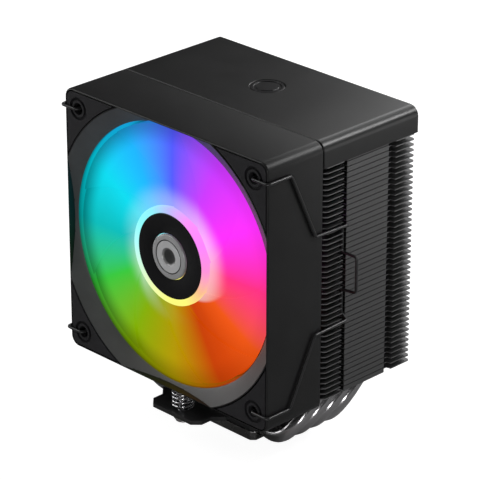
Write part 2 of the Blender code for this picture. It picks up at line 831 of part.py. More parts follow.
def make_impeller():
    recess_radius = CAP_RADIUS + GAP
    floor = HUB_FRONT + 1.2 * MM
    profile = [
        (HUB_RADIUS, HUB_BACK),
        (HUB_RADIUS, HUB_FRONT + 0.8 * MM),
        (HUB_RADIUS - 0.8 * MM, HUB_FRONT),
        (recess_radius, HUB_FRONT),
        (recess_radius, floor),
        (0, floor),
        (0, floor + 1.4 * MM),
        (HUB_RADIUS - 1.3 * MM, floor + 1.4 * MM),
        (HUB_RADIUS - 1.3 * MM, HUB_BACK),
    ]
    impeller = fan_turned("impeller", profile, 36)
    boss = rod("boss", 3.6 * MM, along_fan(floor + 1.0 * MM), along_fan(-41.4 * MM), 12)
    shaft_hole = rod("hole", SHAFT_RADIUS + GAP, along_fan(floor + 1.2 * MM), along_fan(-40 * MM), 12)
    impeller = cut(join(impeller, boss), shaft_hole)
    for i in range(BLADE_COUNT):
        impeller = join(impeller, blade(i))
    impeller.name = "impeller"
    hub = along_fan(HUB_FRONT)
    finish(impeller, "lit_plastic", hub)
    cap = ring_profile(BADGE_RADIUS + GAP, CAP_RADIUS, HUB_FRONT + 0.1 * MM, floor - GAP)
    finish(fan_turned("hub_cap", cap, 32), "black_plastic", hub)
    badge_profile = [
        (0, floor - GAP),
        (BADGE_RADIUS, floor - GAP),
        (BADGE_RADIUS, HUB_FRONT - 0.1 * MM),
        (BADGE_RADIUS - 0.5 * MM, HUB_FRONT - 0.6 * MM),
        (7.6 * MM, HUB_FRONT - 0.6 * MM),
        (7.2 * MM, HUB_FRONT - 0.3 * MM),
        (3.9 * MM, HUB_FRONT - 0.3 * MM),
        (0, HUB_FRONT + 0.2 * MM),
    ]
    finish(fan_turned("hub_badge", badge_profile, 32), "bright_steel", hub)


def stator_outline():
    """Four T-shaped poles round a ring, given as (radius in mm, degrees from the pole's middle)."""
    pole = [(7.4, -40), (7.4, -17), (13.4, -9), (13.4, -38), (16, -38), (16, -19)]
    points = []
    for k in range(4):
        for radius, angle in pole + [(16, 0)] + [(r, -a) for r, a in reversed(pole)]:
            turn = math.radians(90 * k + 45 + angle)
            points.append((radius * MM * math.cos(turn), FAN_AXIS_Z + radius * MM * math.sin(turn)))
    return points


def make_stator():
    hole = circle((0, FAN_AXIS_Z), 5.9 * MM, 24)
    finish(upright_plate("stator_core", [stator_outline(), hole], -39.0 * MM, -32.0 * MM), "ferrite")
    for k in range(4):
        low = (8.4 * MM, -40.6 * MM, -3.9 * MM)
        high = (11.6 * MM, -30.4 * MM, 3.9 * MM)
        coil = box("winding", low, high)
        leg = box("leg", (7 * MM, -39.3 * MM, -2.5 * MM), (14 * MM, -31.7 * MM, 2.5 * MM))
        coil = cut(coil, leg)
        coil.data.transform(turned_about_fan(45 + 90 * k))
        coil.name = f"winding_{k + 1}"
        finish(coil, "copper")


def make_board():
    """Circuit board behind the windings, with the lights round its edge."""
    back = BOARD_FRONT + 1.2 * MM
    board = fan_turned("light_board", ring_profile(6.2 * MM, 20.4 * MM, BOARD_FRONT, back), 32)
    for k in range(8):
        low = (17.2 * MM, BOARD_FRONT - 1.1 * MM, -1.8 * MM)
        high = (20.0 * MM, BOARD_FRONT + 0.4 * MM, 1.8 * MM)
        light = box("light", low, high)
        light.data.transform(turned_about_fan(45 * k))
        board = join(board, light)
    board.name = "light_board"
    finish(board, "circuit_board")


def make_motor():
    yoke_front = HUB_FRONT + 2.6 * MM + GAP
    yoke_back = -29.4 * MM
    yoke_profile = [
        (20.3 * MM, yoke_back),
        (20.3 * MM, yoke_front),
        (4.2 * MM, yoke_front),
        (4.2 * MM, yoke_front + 0.9 * MM),
        (19.4 * MM, yoke_front + 0.9 * MM),
        (19.4 * MM, yoke_back),
    ]
    hub = along_fan(HUB_FRONT)
    finish(fan_turned("rotor_yoke", yoke_profile, 32), "bright_steel", hub)
    magnet = ring_profile(16.8 * MM, 19.1 * MM, yoke_front + 1.3 * MM, yoke_back - 0.4 * MM)
    finish(fan_turned("rotor_magnet", magnet, 24), "ferrite", hub)
    sleeve = ring_profile(SHAFT_RADIUS + 0.06 * MM, 4.0 * MM, -39.0 * MM, -25.0 * MM)
    finish(fan_turned("bearing_sleeve", sleeve, 24), "bronze")
    shaft_front = HUB_FRONT + 2.8 * MM
    shaft = rod("shaft", SHAFT_RADIUS, along_fan(shaft_front), along_fan(-23.0 * MM), 24)
    finish(shaft, "bright_steel", hub)
    clip = ring_profile(1.8 * MM, 3.2 * MM, -24.7 * MM, -24.1 * MM)
    finish(fan_turned("shaft_clip", clip, 12), "bright_steel", hub)
    cap = rod("bearing_cap", 4.0 * MM, along_fan(-21.0 * MM), along_fan(STRUT_BACK), 16)
    finish(cap, "black_plastic")
    make_stator()
    make_board()


def make_strips():
    """Rubber strips between the fan frame and the fins."""
    for name, side in (("damping_strip_left", -1), ("damping_strip_right", 1)):
        x = side * 53.0 * MM
        low = (x - 2.0 * MM, FAN_BACK + GAP, FAN_AXIS_Z - 45 * MM)
        high = (x + 2.0 * MM, FIN_FRONT - GAP, FAN_AXIS_Z + 45 * MM)
        finish(box(name, low, high), "black_rubber")


# Wire clips that hold the fan on the fins


def clip_route(side):
    """Half the wire from its hook in the fan's corner hole to the middle of the finger loop."""
    hook_z = HOLE_OFFSET
    leg_x = FIN_HALF_X - CLIP_SLOT_DEPTH + WIRE_RADIUS + GAP
    leg_y = CLIP_SLOT_BACK - WIRE_RADIUS - 0.35 * MM
    front_y = FAN_FRONT - WIRE_RADIUS - GAP
    half = []
    half.append(((HOLE_OFFSET, FAN_FRONT + 5 * MM, hook_z), 0))
    half.append(((HOLE_OFFSET, front_y, hook_z), 1.4 * MM))
    half.append(((WIRE_SIDE_X, front_y, hook_z), 1.4 * MM))
    half.append(((WIRE_SIDE_X, -38.2 * MM, hook_z), 1.6 * MM))
    half.append(((WIRE_SIDE_X, -23.7 * MM, 22.4 * MM), 1.6 * MM))
    half.append(((WIRE_SIDE_X, leg_y, 21.8 * MM), 1.2 * MM))
    half.append(((leg_x, leg_y, 19.6 * MM), 1.2 * MM))
    half.append(((leg_x, leg_y, 8.6 * MM), 1.2 * MM))
    half.append(((leg_x + 7.6 * MM, leg_y + 0.8 * MM, 8.2 * MM), 1.4 * MM))
    lower = [((x, y, -z), bend) for (x, y, z), bend in reversed(half)]
    shift = CLIP_CENTRE_Z - FAN_AXIS_Z
    points = []
    for (x, y, z), bend in half + lower:
        near_hook = abs(z) >= hook_z - 0.01 * MM
        points.append(((side * x, y, FAN_AXIS_Z + z + (0 if near_hook else shift)), bend))
    return smooth_path(points)


def make_clips():
    for name, side in (("wire_clip_left", -1), ("wire_clip_right", 1)):
        clip = solidified(tube(name, clip_route(side), WIRE_RADIUS, 1))
        finish(clip, "black_metal", (side * HOLE_OFFSET, FAN_FRONT + MM, CLIP_CENTRE_Z))


def main():
    make_heat_pipes()
    make_base()
    make_crossbar()
    make_fixings()
    make_fin_stack()
    make_cover()
    make_fan_frame()
    make_pads()
    make_impeller()
    make_motor()
    make_strips()
    make_clips()


main()
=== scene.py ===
"""Looks of the tower cooler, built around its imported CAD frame. Metres, in the row frame."""

import json
import math

import bmesh
import bpy
from mathutils import Matrix, Vector


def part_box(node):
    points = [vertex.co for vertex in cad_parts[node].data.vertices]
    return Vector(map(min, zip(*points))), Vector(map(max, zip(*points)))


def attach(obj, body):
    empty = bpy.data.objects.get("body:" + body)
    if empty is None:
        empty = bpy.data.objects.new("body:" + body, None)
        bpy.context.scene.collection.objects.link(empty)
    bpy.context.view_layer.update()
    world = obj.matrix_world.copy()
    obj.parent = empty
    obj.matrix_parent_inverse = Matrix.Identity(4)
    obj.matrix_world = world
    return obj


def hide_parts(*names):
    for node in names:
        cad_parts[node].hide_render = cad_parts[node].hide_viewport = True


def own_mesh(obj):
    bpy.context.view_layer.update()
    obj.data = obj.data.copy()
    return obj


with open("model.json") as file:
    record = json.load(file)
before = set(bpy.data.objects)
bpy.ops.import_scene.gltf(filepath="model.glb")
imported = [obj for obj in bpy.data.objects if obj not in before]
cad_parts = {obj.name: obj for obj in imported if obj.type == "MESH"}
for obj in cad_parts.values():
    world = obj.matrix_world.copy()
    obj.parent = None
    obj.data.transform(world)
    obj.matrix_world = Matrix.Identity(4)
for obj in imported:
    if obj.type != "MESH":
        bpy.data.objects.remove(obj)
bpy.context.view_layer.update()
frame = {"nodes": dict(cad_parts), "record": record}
NODES = frame["nodes"]
BODIES = frame["record"]["behaviour"]["bodies"]
BODY_OF = {node: body for body, members in BODIES.items() for node in members}
MM = 0.001

FRAME_LOW, FRAME_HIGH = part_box("fan_frame")
HALF = FRAME_HIGH.x
FRONT = FRAME_LOW.y
BACK = FRAME_HIGH.y
TOP = FRAME_HIGH.z
AXIS_Z = (FRAME_LOW.z + FRAME_HIGH.z) / 2
CORNER = 4.5 * MM
HOLE = 52.5 * MM
HOLE_RADIUS = 2.7 * MM
THROAT = 58.7 * MM  # radius of the round wall that the blades turn in
BELL = 65.9 * MM  # radius of the flare at the front
BELL_DEPTH = 4.4 * MM
RIM = 0.75 * MM  # thin square edge round the flare and the pads
PAD_ARC = 67.0 * MM
PAD_GAP = 0.6 * MM

HUB = 22.0 * MM
HUB_BACK = -28.5 * MM
BADGE_PROUD = 0.6 * MM
HUB_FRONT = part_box("hub_badge")[0].y + BADGE_PROUD
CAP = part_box("hub_cap")[1].x
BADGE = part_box("hub_badge")[1].x
TIP = 57.2 * MM
BLADES = 9

FIN_LOW, FIN_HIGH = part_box("fin_stack")
FIN_COUNT = 44
FIN_PITCH = 2.46 * MM
FIN_THICK = 0.42 * MM
FIN_HALF = FIN_HIGH.x
WALL_FRONT = -3.4 * MM
WALL_BACK = 21.6 * MM
SLOT_DEPTH = 2.2 * MM

COVER_LOW, COVER_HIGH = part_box("top_cover")
BLOCK_LOW, BLOCK_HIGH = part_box("pipe_clamp_block")
PIPE_Z = (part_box("cold_plate")[1].z + BLOCK_LOW.z) / 2
BAR_LOW, BAR_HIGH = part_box("crossbar")
PIPE_RADIUS = 3.0 * MM
PIPE_X = 48.8 * MM
PIPE_COUNT = 4
SCREW_Y = 40.5 * MM
BUSH_FLANGE = 14.0 * MM
WIRE_RADIUS = 0.7 * MM
WIRE_GAP = 0.3 * MM


# Node helpers


def material(name, **values):
    made = bpy.data.materials.new(name)
    made.use_nodes = True
    shader = made.node_tree.nodes["Principled BSDF"]
    for socket, value in values.items():
        shader.inputs[socket.replace("_", " ")].default_value = value
    return made, made.node_tree.nodes, made.node_tree.links, shader


def math_node(nodes, links, operation, first, second=None, third=None):
    node = nodes.new("ShaderNodeMath")
    node.operation = operation
    for socket, value in zip(node.inputs, (first, second, third)):
        if isinstance(value, (int, float)):
            socket.default_value = value
        elif value is not None:
            links.new(value, socket)
    return node.outputs[0]


def product(nodes, links, first, *others):
    for other in others:
        first = math_node(nodes, links, "MULTIPLY", first, other)
    return first


def ramp(nodes, links, source, stops):
    node = nodes.new("ShaderNodeValToRGB")
    elements = node.color_ramp.elements
    for i, (place, colour) in enumerate(stops):
        element = elements[i] if i < 2 else elements.new(place)
        element.position = place
        element.color = (*colour, 1.0)
    links.new(source, node.inputs["Fac"])
    return node.outputs["Color"]


def ranged(nodes, links, source, start, end, low, high, kind="LINEAR"):
    """Maps start..end to low..high, and holds the ends."""
    node = nodes.new("ShaderNodeMapRange")
    node.interpolation_type = kind
    links.new(source, node.inputs["Value"])
    for socket, value in (("From Min", start), ("From Max", end), ("To Min", low), ("To Max", high)):
        node.inputs[socket].default_value = value
    return node.outputs["Result"]


def spread(nodes, links, source, low, high):
    return ranged(nodes, links, source, 0.0, 1.0, low, high)


def paint(nodes, links, shader, source, stops):
    links.new(ramp(nodes, links, source, stops), shader.inputs["Base Color"])


def gloss(nodes, links, shader, source, rough):
    links.new(spread(nodes, links, source, *rough), shader.inputs["Roughness"])


def object_place(nodes):
    return nodes.new("ShaderNodeTexCoord").outputs["Object"]


def noise(nodes, links, place, scale, detail=4.0, roughness=0.55):
    node = nodes.new("ShaderNodeTexNoise")
    node.inputs["Scale"].default_value = scale
    node.inputs["Detail"].default_value = detail
    node.inputs["Roughness"].default_value = roughness
    links.new(place, node.inputs["Vector"])
    return node.outputs["Fac"]


def stretched(nodes, links, place, scale):
    node = nodes.new("ShaderNodeMapping")
    node.inputs["Scale"].default_value = scale
    links.new(place, node.inputs["Vector"])
    return node.outputs["Vector"]


def bump(nodes, links, shader, height, strength, distance):
    node = nodes.new("ShaderNodeBump")
    node.inputs["Strength"].default_value = strength
    node.inputs["Distance"].default_value = distance
    links.new(height, node.inputs["Height"])
    links.new(node.outputs["Normal"], shader.inputs["Normal"])


def from_fan_axis(nodes, links, place):
    """The place's separate parts, its height over the fan's axis, and its distance from the axis."""
    split = nodes.new("ShaderNodeSeparateXYZ")
    links.new(place, split.inputs["Vector"])
    above = math_node(nodes, links, "SUBTRACT", split.outputs["Z"], AXIS_Z)
    squared = math_node(nodes, links, "MULTIPLY", above, above)
    total = math_node(nodes, links, "MULTIPLY_ADD", split.outputs["X"], split.outputs["X"], squared)
    return split, above, math_node(nodes, links, "SQRT", total)


def worn_edges(nodes, links, amount):
    """High where the surface turns sharply outward."""
    geometry = nodes.new("ShaderNodeNewGeometry")
    stops = [(0.5, (0, 0, 0)), (0.62, (amount,) * 3)]
    return ramp(nodes, links, geometry.outputs["Pointiness"], stops)


# Materials


def moulded_plastic(name, dark, light, rough, grain=1.0, level=0.5):
    """Moulded black plastic: fine spark grain, faint mottling and an uneven gloss."""
    made, nodes, links, shader = material(name, Specular_IOR_Level=level, IOR=1.5)
    place = object_place(nodes)
    mottling = noise(nodes, links, place, 60.0)
    paint(nodes, links, shader, mottling, [(0.3, dark), (0.7, light)])
    fine = noise(nodes, links, place, 2600.0, 3.0, 0.6)
    blend = math_node(nodes, links, "MULTIPLY_ADD", fine, 0.35, mottling)
    gloss(nodes, links, shader, blend, rough)
    bump(nodes, links, shader, fine, 0.12 * grain, 0.00004)
    return made


def rubber(name):
    """Soft pad rubber: matt, slightly dusty, with a fine uneven skin."""
    sheen = {"Sheen_Weight": 0.08, "Sheen_Roughness": 0.5}
    made, nodes, links, shader = material(name, Specular_IOR_Level=0.35, **sheen)
    place = object_place(nodes)
    dust = noise(nodes, links, place, 180.0, 6.0, 0.7)
    clean = (0.016, 0.0155, 0.0175)
    dusty = (0.027, 0.0255, 0.03)
    paint(nodes, links, shader, dust, [(0.35, clean), (0.75, dusty)])
    gloss(nodes, links, shader, dust, (0.55, 0.78))
    bump(nodes, links, shader, noise(nodes, links, place, 1500.0, 4.0), 0.25, 0.00005)
    return made


def coated_metal(name, dark, light, rough, metallic, streak=(1, 1, 1)):
    """Black-coated sheet: faint rolling streaks under the coat and lighter cut edges."""
    made, nodes, links, shader = material(name, Metallic=metallic)
    place = object_place(nodes)
    streaks = noise(nodes, links, stretched(nodes, links, place, streak), 90.0, 5.0, 0.65)
    colour = ramp(nodes, links, streaks, [(0.3, dark), (0.72, light)])
    edges = nodes.new("ShaderNodeMixRGB")
    edges.blend_type = "ADD"
    edges.inputs["Fac"].default_value = 1.0
    links.new(colour, edges.inputs["Color1"])
    links.new(worn_edges(nodes, links, 0.12), edges.inputs["Color2"])
    links.new(edges.outputs["Color"], shader.inputs["Base Color"])
    gloss(nodes, links, shader, streaks, rough)
    bump(nodes, links, shader, noise(nodes, links, place, 1900.0, 3.0), 0.1, 0.00003)
    return made


def bright_metal(name, tint, rough, wear=0.06):
    """Plated or drawn metal: fine marks, smudges in the gloss and small tone changes."""
    made, nodes, links, shader = material(name, Metallic=1.0)
    place = object_place(nodes)
    smudge = noise(nodes, links, place, 220.0, 5.0, 0.6)
    paint(nodes, links, shader, smudge, [(0.3, tuple(c * (1 - wear) for c in tint)), (0.7, tint)])
    marks = noise(nodes, links, stretched(nodes, links, place, (1, 1, 14)), 500.0, 4.0)
    bump(nodes, links, shader, marks, 0.12, 0.00003)
    gloss(nodes, links, shader, smudge, rough)
    return made


def turned_badge(name, tint, rough):
    """Lathe-turned disc on the fan's axis: ring-shaped tool marks, painted shade in its hollow middle and in
    its narrow groove, and a darker rounded rim.
    """
    made, nodes, links, shader = material(name, Metallic=0.15)
    place = object_place(nodes)
    smudge = noise(nodes, links, place, 220.0, 5.0, 0.6)
    radius = from_fan_axis(nodes, links, place)[2]
    marks = math_node(nodes, links, "SINE", math_node(nodes, links, "MULTIPLY", radius, 16000.0))
    height = math_node(nodes, links, "MULTIPLY_ADD", smudge, 0.5, marks)
    bump(nodes, links, shader, height, 0.18, 0.000012)
    centimetres = math_node(nodes, links, "MULTIPLY", radius, 100.0)
    # Painted shade: dark in the middle hollow and in the narrow groove, where shade falls.
    groove = (0.04,) * 3
    rings = [(0.0, (0.05,) * 3), (0.3, (0.07,) * 3), (0.39, (0.5,) * 3), (0.42, tint), (0.71, tint)]
    rings += [(0.72, groove), (0.76, groove), (0.775, tuple(c * 0.7 for c in tint))]
    paint(nodes, links, shader, centimetres, rings)
    gloss(nodes, links, shader, smudge, rough)
    return made


# Hue of the lit blades, clockwise from the top, as turns, with the milkiness near the hub; the milkiness
# drops to nothing at the lower right as painted shade of the blades there.
GLOW = [
    (0.0, (0.087, 0.105, 1.0), 0.22),
    (0.083, (0.6, 0.04, 1.0), 0.28),
    (0.167, (1.0, 0.028, 0.98), 0.34),
    (0.25, (0.99, 0.031, 0.23), 0.33),
    (0.333, (0.85, 0.093, 0.007), 0.32),
    (0.372, (0.7, 0.07, 0.003), 0.3),
    (0.386, (0.64, 0.06, 0.002), 0.0),
    (0.417, (0.56, 0.051, 0.001), 0.0),
    (0.5, (0.44, 0.305, 0.001), 0.0),
    (0.583, (0.22, 0.413, 0.001), 0.02),
    (0.667, (0.038, 0.552, 0.045), 0.36),
    (0.75, (0.002, 0.491, 0.485), 0.2),
    (0.833, (0.002, 0.694, 0.847), 0.1),
    (0.917, (0.012, 0.462, 0.991), 0.14),
    (1.0, (0.087, 0.105, 1.0), 0.22),
]
# Hue of the bright ring round the hub's face, the same way.
RING_GLOW = [
    (0.0, (0.52, 0.52, 0.97)),
    (0.083, (0.99, 0.3, 0.97)),
    (0.167, (0.99, 0.24, 0.99)),
    (0.25, (0.99, 0.29, 0.69)),
    (0.333, (0.97, 0.53, 0.28)),
    (0.417, (0.99, 0.94, 0.2)),
    (0.5, (0.97, 0.97, 0.21)),
    (0.583, (0.87, 0.97, 0.43)),
    (0.667, (0.66, 0.97, 0.72)),
    (0.75, (0.44, 0.99, 0.98)),
    (0.833, (0.28, 0.99, 0.99)),
    (0.917, (0.29, 0.88, 0.97)),
    (1.0, (0.52, 0.52, 0.97)),
]


def blade_light(nodes, links, hue, turn, radius, split):
    """Milkier towards the hub along swept streaks, and dimmed at the rim, most of all at the left, as painted
    shade from the throat.
    """
    streak = math_node(nodes, links, "MULTIPLY_ADD", radius, 3.4 / 360, -22 * 3.4 / 360)
    streak = math_node(nodes, links, "FRACT", math_node(nodes, links, "ADD", turn, streak))
    milk = ramp(nodes, links, streak, [(stop[0], (stop[2],) * 3) for stop in GLOW])
    near = ranged(nodes, links, radius, 20.0, 34.0, 1.25, 0.0, "SMOOTHERSTEP")
    mix = nodes.new("ShaderNodeMixRGB")
    links.new(math_node(nodes, links, "MULTIPLY", milk, near), mix.inputs["Fac"])
    links.new(hue, mix.inputs["Color1"])
    mix.inputs["Color2"].default_value = (0.95, 0.97, 1.0, 1.0)
    sideways = math_node(nodes, links, "MULTIPLY", split.outputs["X"], 1000.0)
    # Painted shade: the glow dims towards the rim, most at the left, standing in for the throat's shade on
    # the blade tips.
    rim = ranged(nodes, links, radius, 47.0, 58.0, 0.0, 1.0, "SMOOTHSTEP")
    shade = product(nodes, links, rim, ranged(nodes, links, sideways, -45.0, 45.0, 0.62, 0.12))
    return mix.outputs["Color"], math_node(nodes, links, "SUBTRACT", 1.0, shade)


def lit_plastic(name, glow, kind):
    """Milky plastic lit from the hub, with a hue that goes round the fan. The wall kind is painted light: a
    glow on the frame's throat wall that stands in for the light the blades spill onto it.
    """
    made, nodes, links, shader = material(name, Specular_IOR_Level=0.1)
    place = object_place(nodes)
    split, above, reach = from_fan_axis(nodes, links, place)
    angle = math_node(nodes, links, "ARCTAN2", split.outputs["X"], above)
    turn = math_node(nodes, links, "FRACT", math_node(nodes, links, "DIVIDE", angle, math.tau))
    hue = ramp(nodes, links, turn, [stop[:2] for stop in glow])
    clouds = noise(nodes, links, place, 45.0, 2.0)
    level = spread(nodes, links, clouds, 0.95, 1.05)
    depth = math_node(nodes, links, "MULTIPLY", split.outputs["Y"], 1000.0)
    # Painted light: the throat wall of the frame glows as if lit by the blades, strongest near the front and
    # fading further back.
    if kind == "wall":
        lit = ranged(nodes, links, depth, -48.0, -43.5, 0.0, 0.62, "SMOOTHSTEP")
        painted_spill_fading = ranged(nodes, links, depth, -34.0, -22.0, 1.0, 0.0)
        level = product(nodes, links, level, lit, painted_spill_fading)
    if kind == "blades":
        radius = math_node(nodes, links, "MULTIPLY", reach, 1000.0)
        hue, shade = blade_light(nodes, links, hue, turn, radius, split)
        # Painted shade: each blade dims slightly further back, so the seams between the blades show.
        painted_seam_shade = ranged(nodes, links, depth, -45.0, -42.5, 1.03, 0.95)
        level = product(nodes, links, level, shade, painted_seam_shade)
    links.new(hue, shader.inputs["Emission Color"])
    links.new(level, shader.inputs["Emission Strength"])
    dim = nodes.new("ShaderNodeMixRGB")
    dim.blend_type = "MULTIPLY"
    dim.inputs["Fac"].default_value = 1.0
    links.new(hue, dim.inputs["Color1"])
    dim.inputs["Color2"].default_value = (0.05, 0.05, 0.05, 1.0)
    links.new(dim.outputs["Color"], shader.inputs["Base Color"])
    gloss(nodes, links, shader, clouds, (0.38, 0.5))
    bump(nodes, links, shader, noise(nodes, links, place, 1200.0, 3.0), 0.05, 0.00003)
    return made


def copper_wire(name):
    """Enamelled winding wire, lying in close turns."""
    made, nodes, links, shader = material(name, Metallic=0.9, Coat_Weight=0.4, Coat_Roughness=0.2)
    place = object_place(nodes)
    wave = nodes.new("ShaderNodeTexWave")
    wave.bands_direction = "Y"
    wave.inputs["Scale"].default_value = 900.0
    wave.inputs["Distortion"].default_value = 0.8
    links.new(place, wave.inputs["Vector"])
    turns = wave.outputs["Fac"]
    # Painted shade: the bands are darker in the hollows between the turns, where the bump dips.
    paint(nodes, links, shader, turns, [(0.1, (0.28, 0.09, 0.035)), (0.7, (0.72, 0.33, 0.16))])
    gloss(nodes, links, shader, turns, (0.45, 0.28))
    bump(nodes, links, shader, turns, 0.5, 0.0001)
    return made


def circuit_board(name):
    """Green solder mask with lighter, slightly raised lines between its fields."""
    made, nodes, links, shader = material(name, Specular_IOR_Level=0.6, Coat_Weight=0.3)
    place = object_place(nodes)
    cells = nodes.new("ShaderNodeTexVoronoi")
    cells.distance = "CHEBYCHEV"
    cells.inputs["Scale"].default_value = 420.0
    links.new(place, cells.inputs["Vector"])
    traces = cells.outputs["Distance"]
    paint(nodes, links, shader, traces, [(0.35, (0.012, 0.06, 0.028)), (0.5, (0.03, 0.14, 0.06))])
    gloss(nodes, links, shader, traces, (0.3, 0.5))
    bump(nodes, links, shader, traces, 0.2, 0.00003)
    return made


FRAME_PLASTIC = moulded_plastic(
    "frame_plastic", (0.010, 0.010, 0.0102), (0.0145, 0.0145, 0.0148), (0.34, 0.46)
)
# Painted light: a much lighter copy of the frame plastic for the bell faces of the same moulding, standing in
# for the light the flare catches.
BELL_PAINTED_LIGHT = moulded_plastic("bell_painted_light", (0.1, 0.1, 0.101), (0.13, 0.13, 0.132), (0.38, 0.5), 0.8)
COVER_PLASTIC = moulded_plastic(
    "cover_plastic", (0.010, 0.010, 0.0102), (0.014, 0.014, 0.0142), (0.27, 0.36)
)
CAP_PLASTIC = moulded_plastic(
    "cap_plastic", (0.004, 0.004, 0.005), (0.008, 0.0075, 0.009), (0.25, 0.4), 0.5, 0.3
)
PAD_RUBBER = rubber("pad_rubber")
FIN_METAL = coated_metal(
    "fin_metal", (0.045, 0.045, 0.046), (0.065, 0.065, 0.066), (0.3, 0.42), 0.8, (1, 0.15, 6)
)
# Painted highlight: a lighter copy of the fin coat for the fins' edge faces, standing in for the edges
# catching the light.
FIN_EDGE_PAINTED_HIGHLIGHT = coated_metal("fin_edge_painted_highlight", (0.12, 0.12, 0.122), (0.2, 0.2, 0.204), (0.28, 0.4), 0.8, (1, 1, 6))
BAR_METAL = coated_metal("bar_metal", (0.012, 0.012, 0.013), (0.022, 0.022, 0.023), (0.28, 0.4), 0.5)
WIRE_METAL = coated_metal("wire_metal", (0.01, 0.01, 0.011), (0.018, 0.018, 0.019), (0.25, 0.34), 0.6)
BLOCK_METAL = coated_metal(
    "block_metal", (0.014, 0.014, 0.015), (0.024, 0.024, 0.025), (0.3, 0.45), 0.6, (6, 1, 1)
)
PIPE_METAL = bright_metal("pipe_metal", (0.6, 0.59, 0.6), (0.14, 0.22))
PLATE_METAL = bright_metal("plate_metal", (0.5, 0.49, 0.48), (0.2, 0.34))
STEEL = bright_metal("plated_steel", (0.85, 0.85, 0.87), (0.08, 0.16))
BADGE_METAL = turned_badge("badge_metal", (0.93, 0.93, 0.94), (0.26, 0.38))
BRONZE = bright_metal("bronze", (0.45, 0.3, 0.14), (0.35, 0.5), wear=0.2)
CORE_METAL = coated_metal(
    "core_metal", (0.04, 0.04, 0.045), (0.08, 0.08, 0.085), (0.45, 0.6), 0.6, (1, 20, 1)
)
BLADE_LIGHT = lit_plastic("blade_light", GLOW, "blades")
RING_LIGHT = lit_plastic("ring_light", RING_GLOW, "ring")
# Painted light for the frame's throat wall: a glow standing in for the blades' spilt light.
THROAT_PAINTED_SPILL = lit_plastic("throat_painted_spill", GLOW, "wall")
COPPER = copper_wire("copper_wire")
BOARD = circuit_board("board_green")


# Mesh helpers


def piece(name, mesh, nodes, surface, bevel=0.0, body=None, angle=32.0):
    """Adds a finished piece, which stands for the CAD nodes named and rides on their body."""
    made = bpy.data.objects.new(name, mesh)
    bpy.context.scene.collection.objects.link(made)
    mesh.materials.clear()
    mesh.materials.append(surface)
    mesh.shade_smooth()
    mesh.set_sharp_from_angle(angle=math.radians(angle))
    if bevel:
        edge = made.modifiers.new("edge", "BEVEL")
        edge.width = bevel
        edge.segments = 2
        edge.limit_method = "ANGLE"
        edge.angle_limit = math.radians(angle)
        edge.harden_normals = True
    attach(made, body or BODY_OF[nodes[0]])
    if nodes:
        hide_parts(*nodes)
    return made


def mesh_of(shape):
    """The bmesh as a mesh, with its faces turned outward."""
    mesh = bpy.data.meshes.new("shape")
    bmesh.ops.recalc_face_normals(shape, faces=shape.faces)
    shape.to_mesh(mesh)
    shape.free()
    return mesh


def loft(loops, closed=False):
    """Skins loops of equally many points, and caps both ends unless it closes on itself."""
    shape = bmesh.new()
    rows = [[shape.verts.new(p) for p in loop] for loop in loops]
    pairs = list(zip(rows, rows[1:]))
    if closed:
        pairs.append((rows[-1], rows[0]))
    for first, second in pairs:
        count = len(first)
        for i in range(count):
            j = (i + 1) % count
            shape.faces.new((first[i], first[j], second[j], second[i]))
    if not closed:
        shape.faces.new(rows[0])
        shape.faces.new(list(reversed(rows[-1])))
    return mesh_of(shape)


def turned(profile, sides, place, turn=None):
    """Revolves (radius, height) points about Z, then moves the shape into place."""
    shape = bmesh.new()
    rows = []
    for i in range(sides):
        angle = math.tau * i / sides
        rows.append([shape.verts.new((r * math.cos(angle), r * math.sin(angle), h)) for r, h in profile])
    count = len(profile)
    hollow = min(profile[0][0], profile[-1][0]) > 0
    for i in range(sides):
        first = rows[i]
        second = rows[(i + 1) % sides]
        for k in range(count if hollow else count - 1):
            n = (k + 1) % count
            if profile[k][0] > 0 or profile[n][0] > 0:
                shape.faces.new((first[k], first[n], second[n], second[k]))
    bmesh.ops.remove_doubles(shape, verts=shape.verts, dist=1e-8)
    matrix = Matrix.Translation(place) @ (turn or Matrix.Identity(4))
    bmesh.ops.transform(shape, matrix=matrix, verts=shape.verts)
    return mesh_of(shape)


TO_Y = Matrix.Rotation(math.radians(-90), 4, "X")


def fan_turned(profile, sides):
    """Revolved about the fan's axis, from (radius, y) points."""
    return turned(profile, sides, (0, 0, AXIS_Z), TO_Y)


def arc(centre, radius, start, end, steps):
    points = []
    for i in range(steps + 1):
        angle = math.radians(start + (end - start) * i / steps)
        points.append((centre[0] + radius * math.cos(angle), centre[1] + radius * math.sin(angle)))
    return points


def circle(centre, radius, sides):
    return arc(centre, radius, 0, 360 * (sides - 1) / sides, sides - 1)


def millimetres(points):
    return [(radius * MM, height * MM) for radius, height in points]


def rounded(half_x, half_z, radius, steps=10, centre=(0, 0)):
    points = []
    for sx, sz, start in ((1, 1, 0), (-1, 1, 90), (-1, -1, 180), (1, -1, 270)):
        middle = (centre[0] + sx * (half_x - radius), centre[1] + sz * (half_z - radius))
        points += arc(middle, radius, start, start + 90, steps)
    return points


def plate(loops, low, high, upright=False):
    """A flat shape with holes; upright ones are drawn in X and Z and are thick along Y."""
    curve = bpy.data.curves.new("plate", "CURVE")
    curve.dimensions = "2D"
    curve.fill_mode = "BOTH"
    curve.extrude = (high - low) / 2
    for loop in loops:
        spline = curve.splines.new("POLY")
        spline.points.add(len(loop) - 1)
        for point, (x, y) in zip(spline.points, loop):
            point.co = (x, y, 0, 1)
        spline.use_cyclic_u = True
    obj = bpy.data.objects.new("plate", curve)
    middle = (low + high) / 2
    if upright:
        obj.matrix_world = Matrix.Translation((0, middle, 0)) @ Matrix.Rotation(math.radians(90), 4, "X")
    else:
        obj.matrix_world = Matrix.Translation((0, 0, middle))
    return baked(obj)


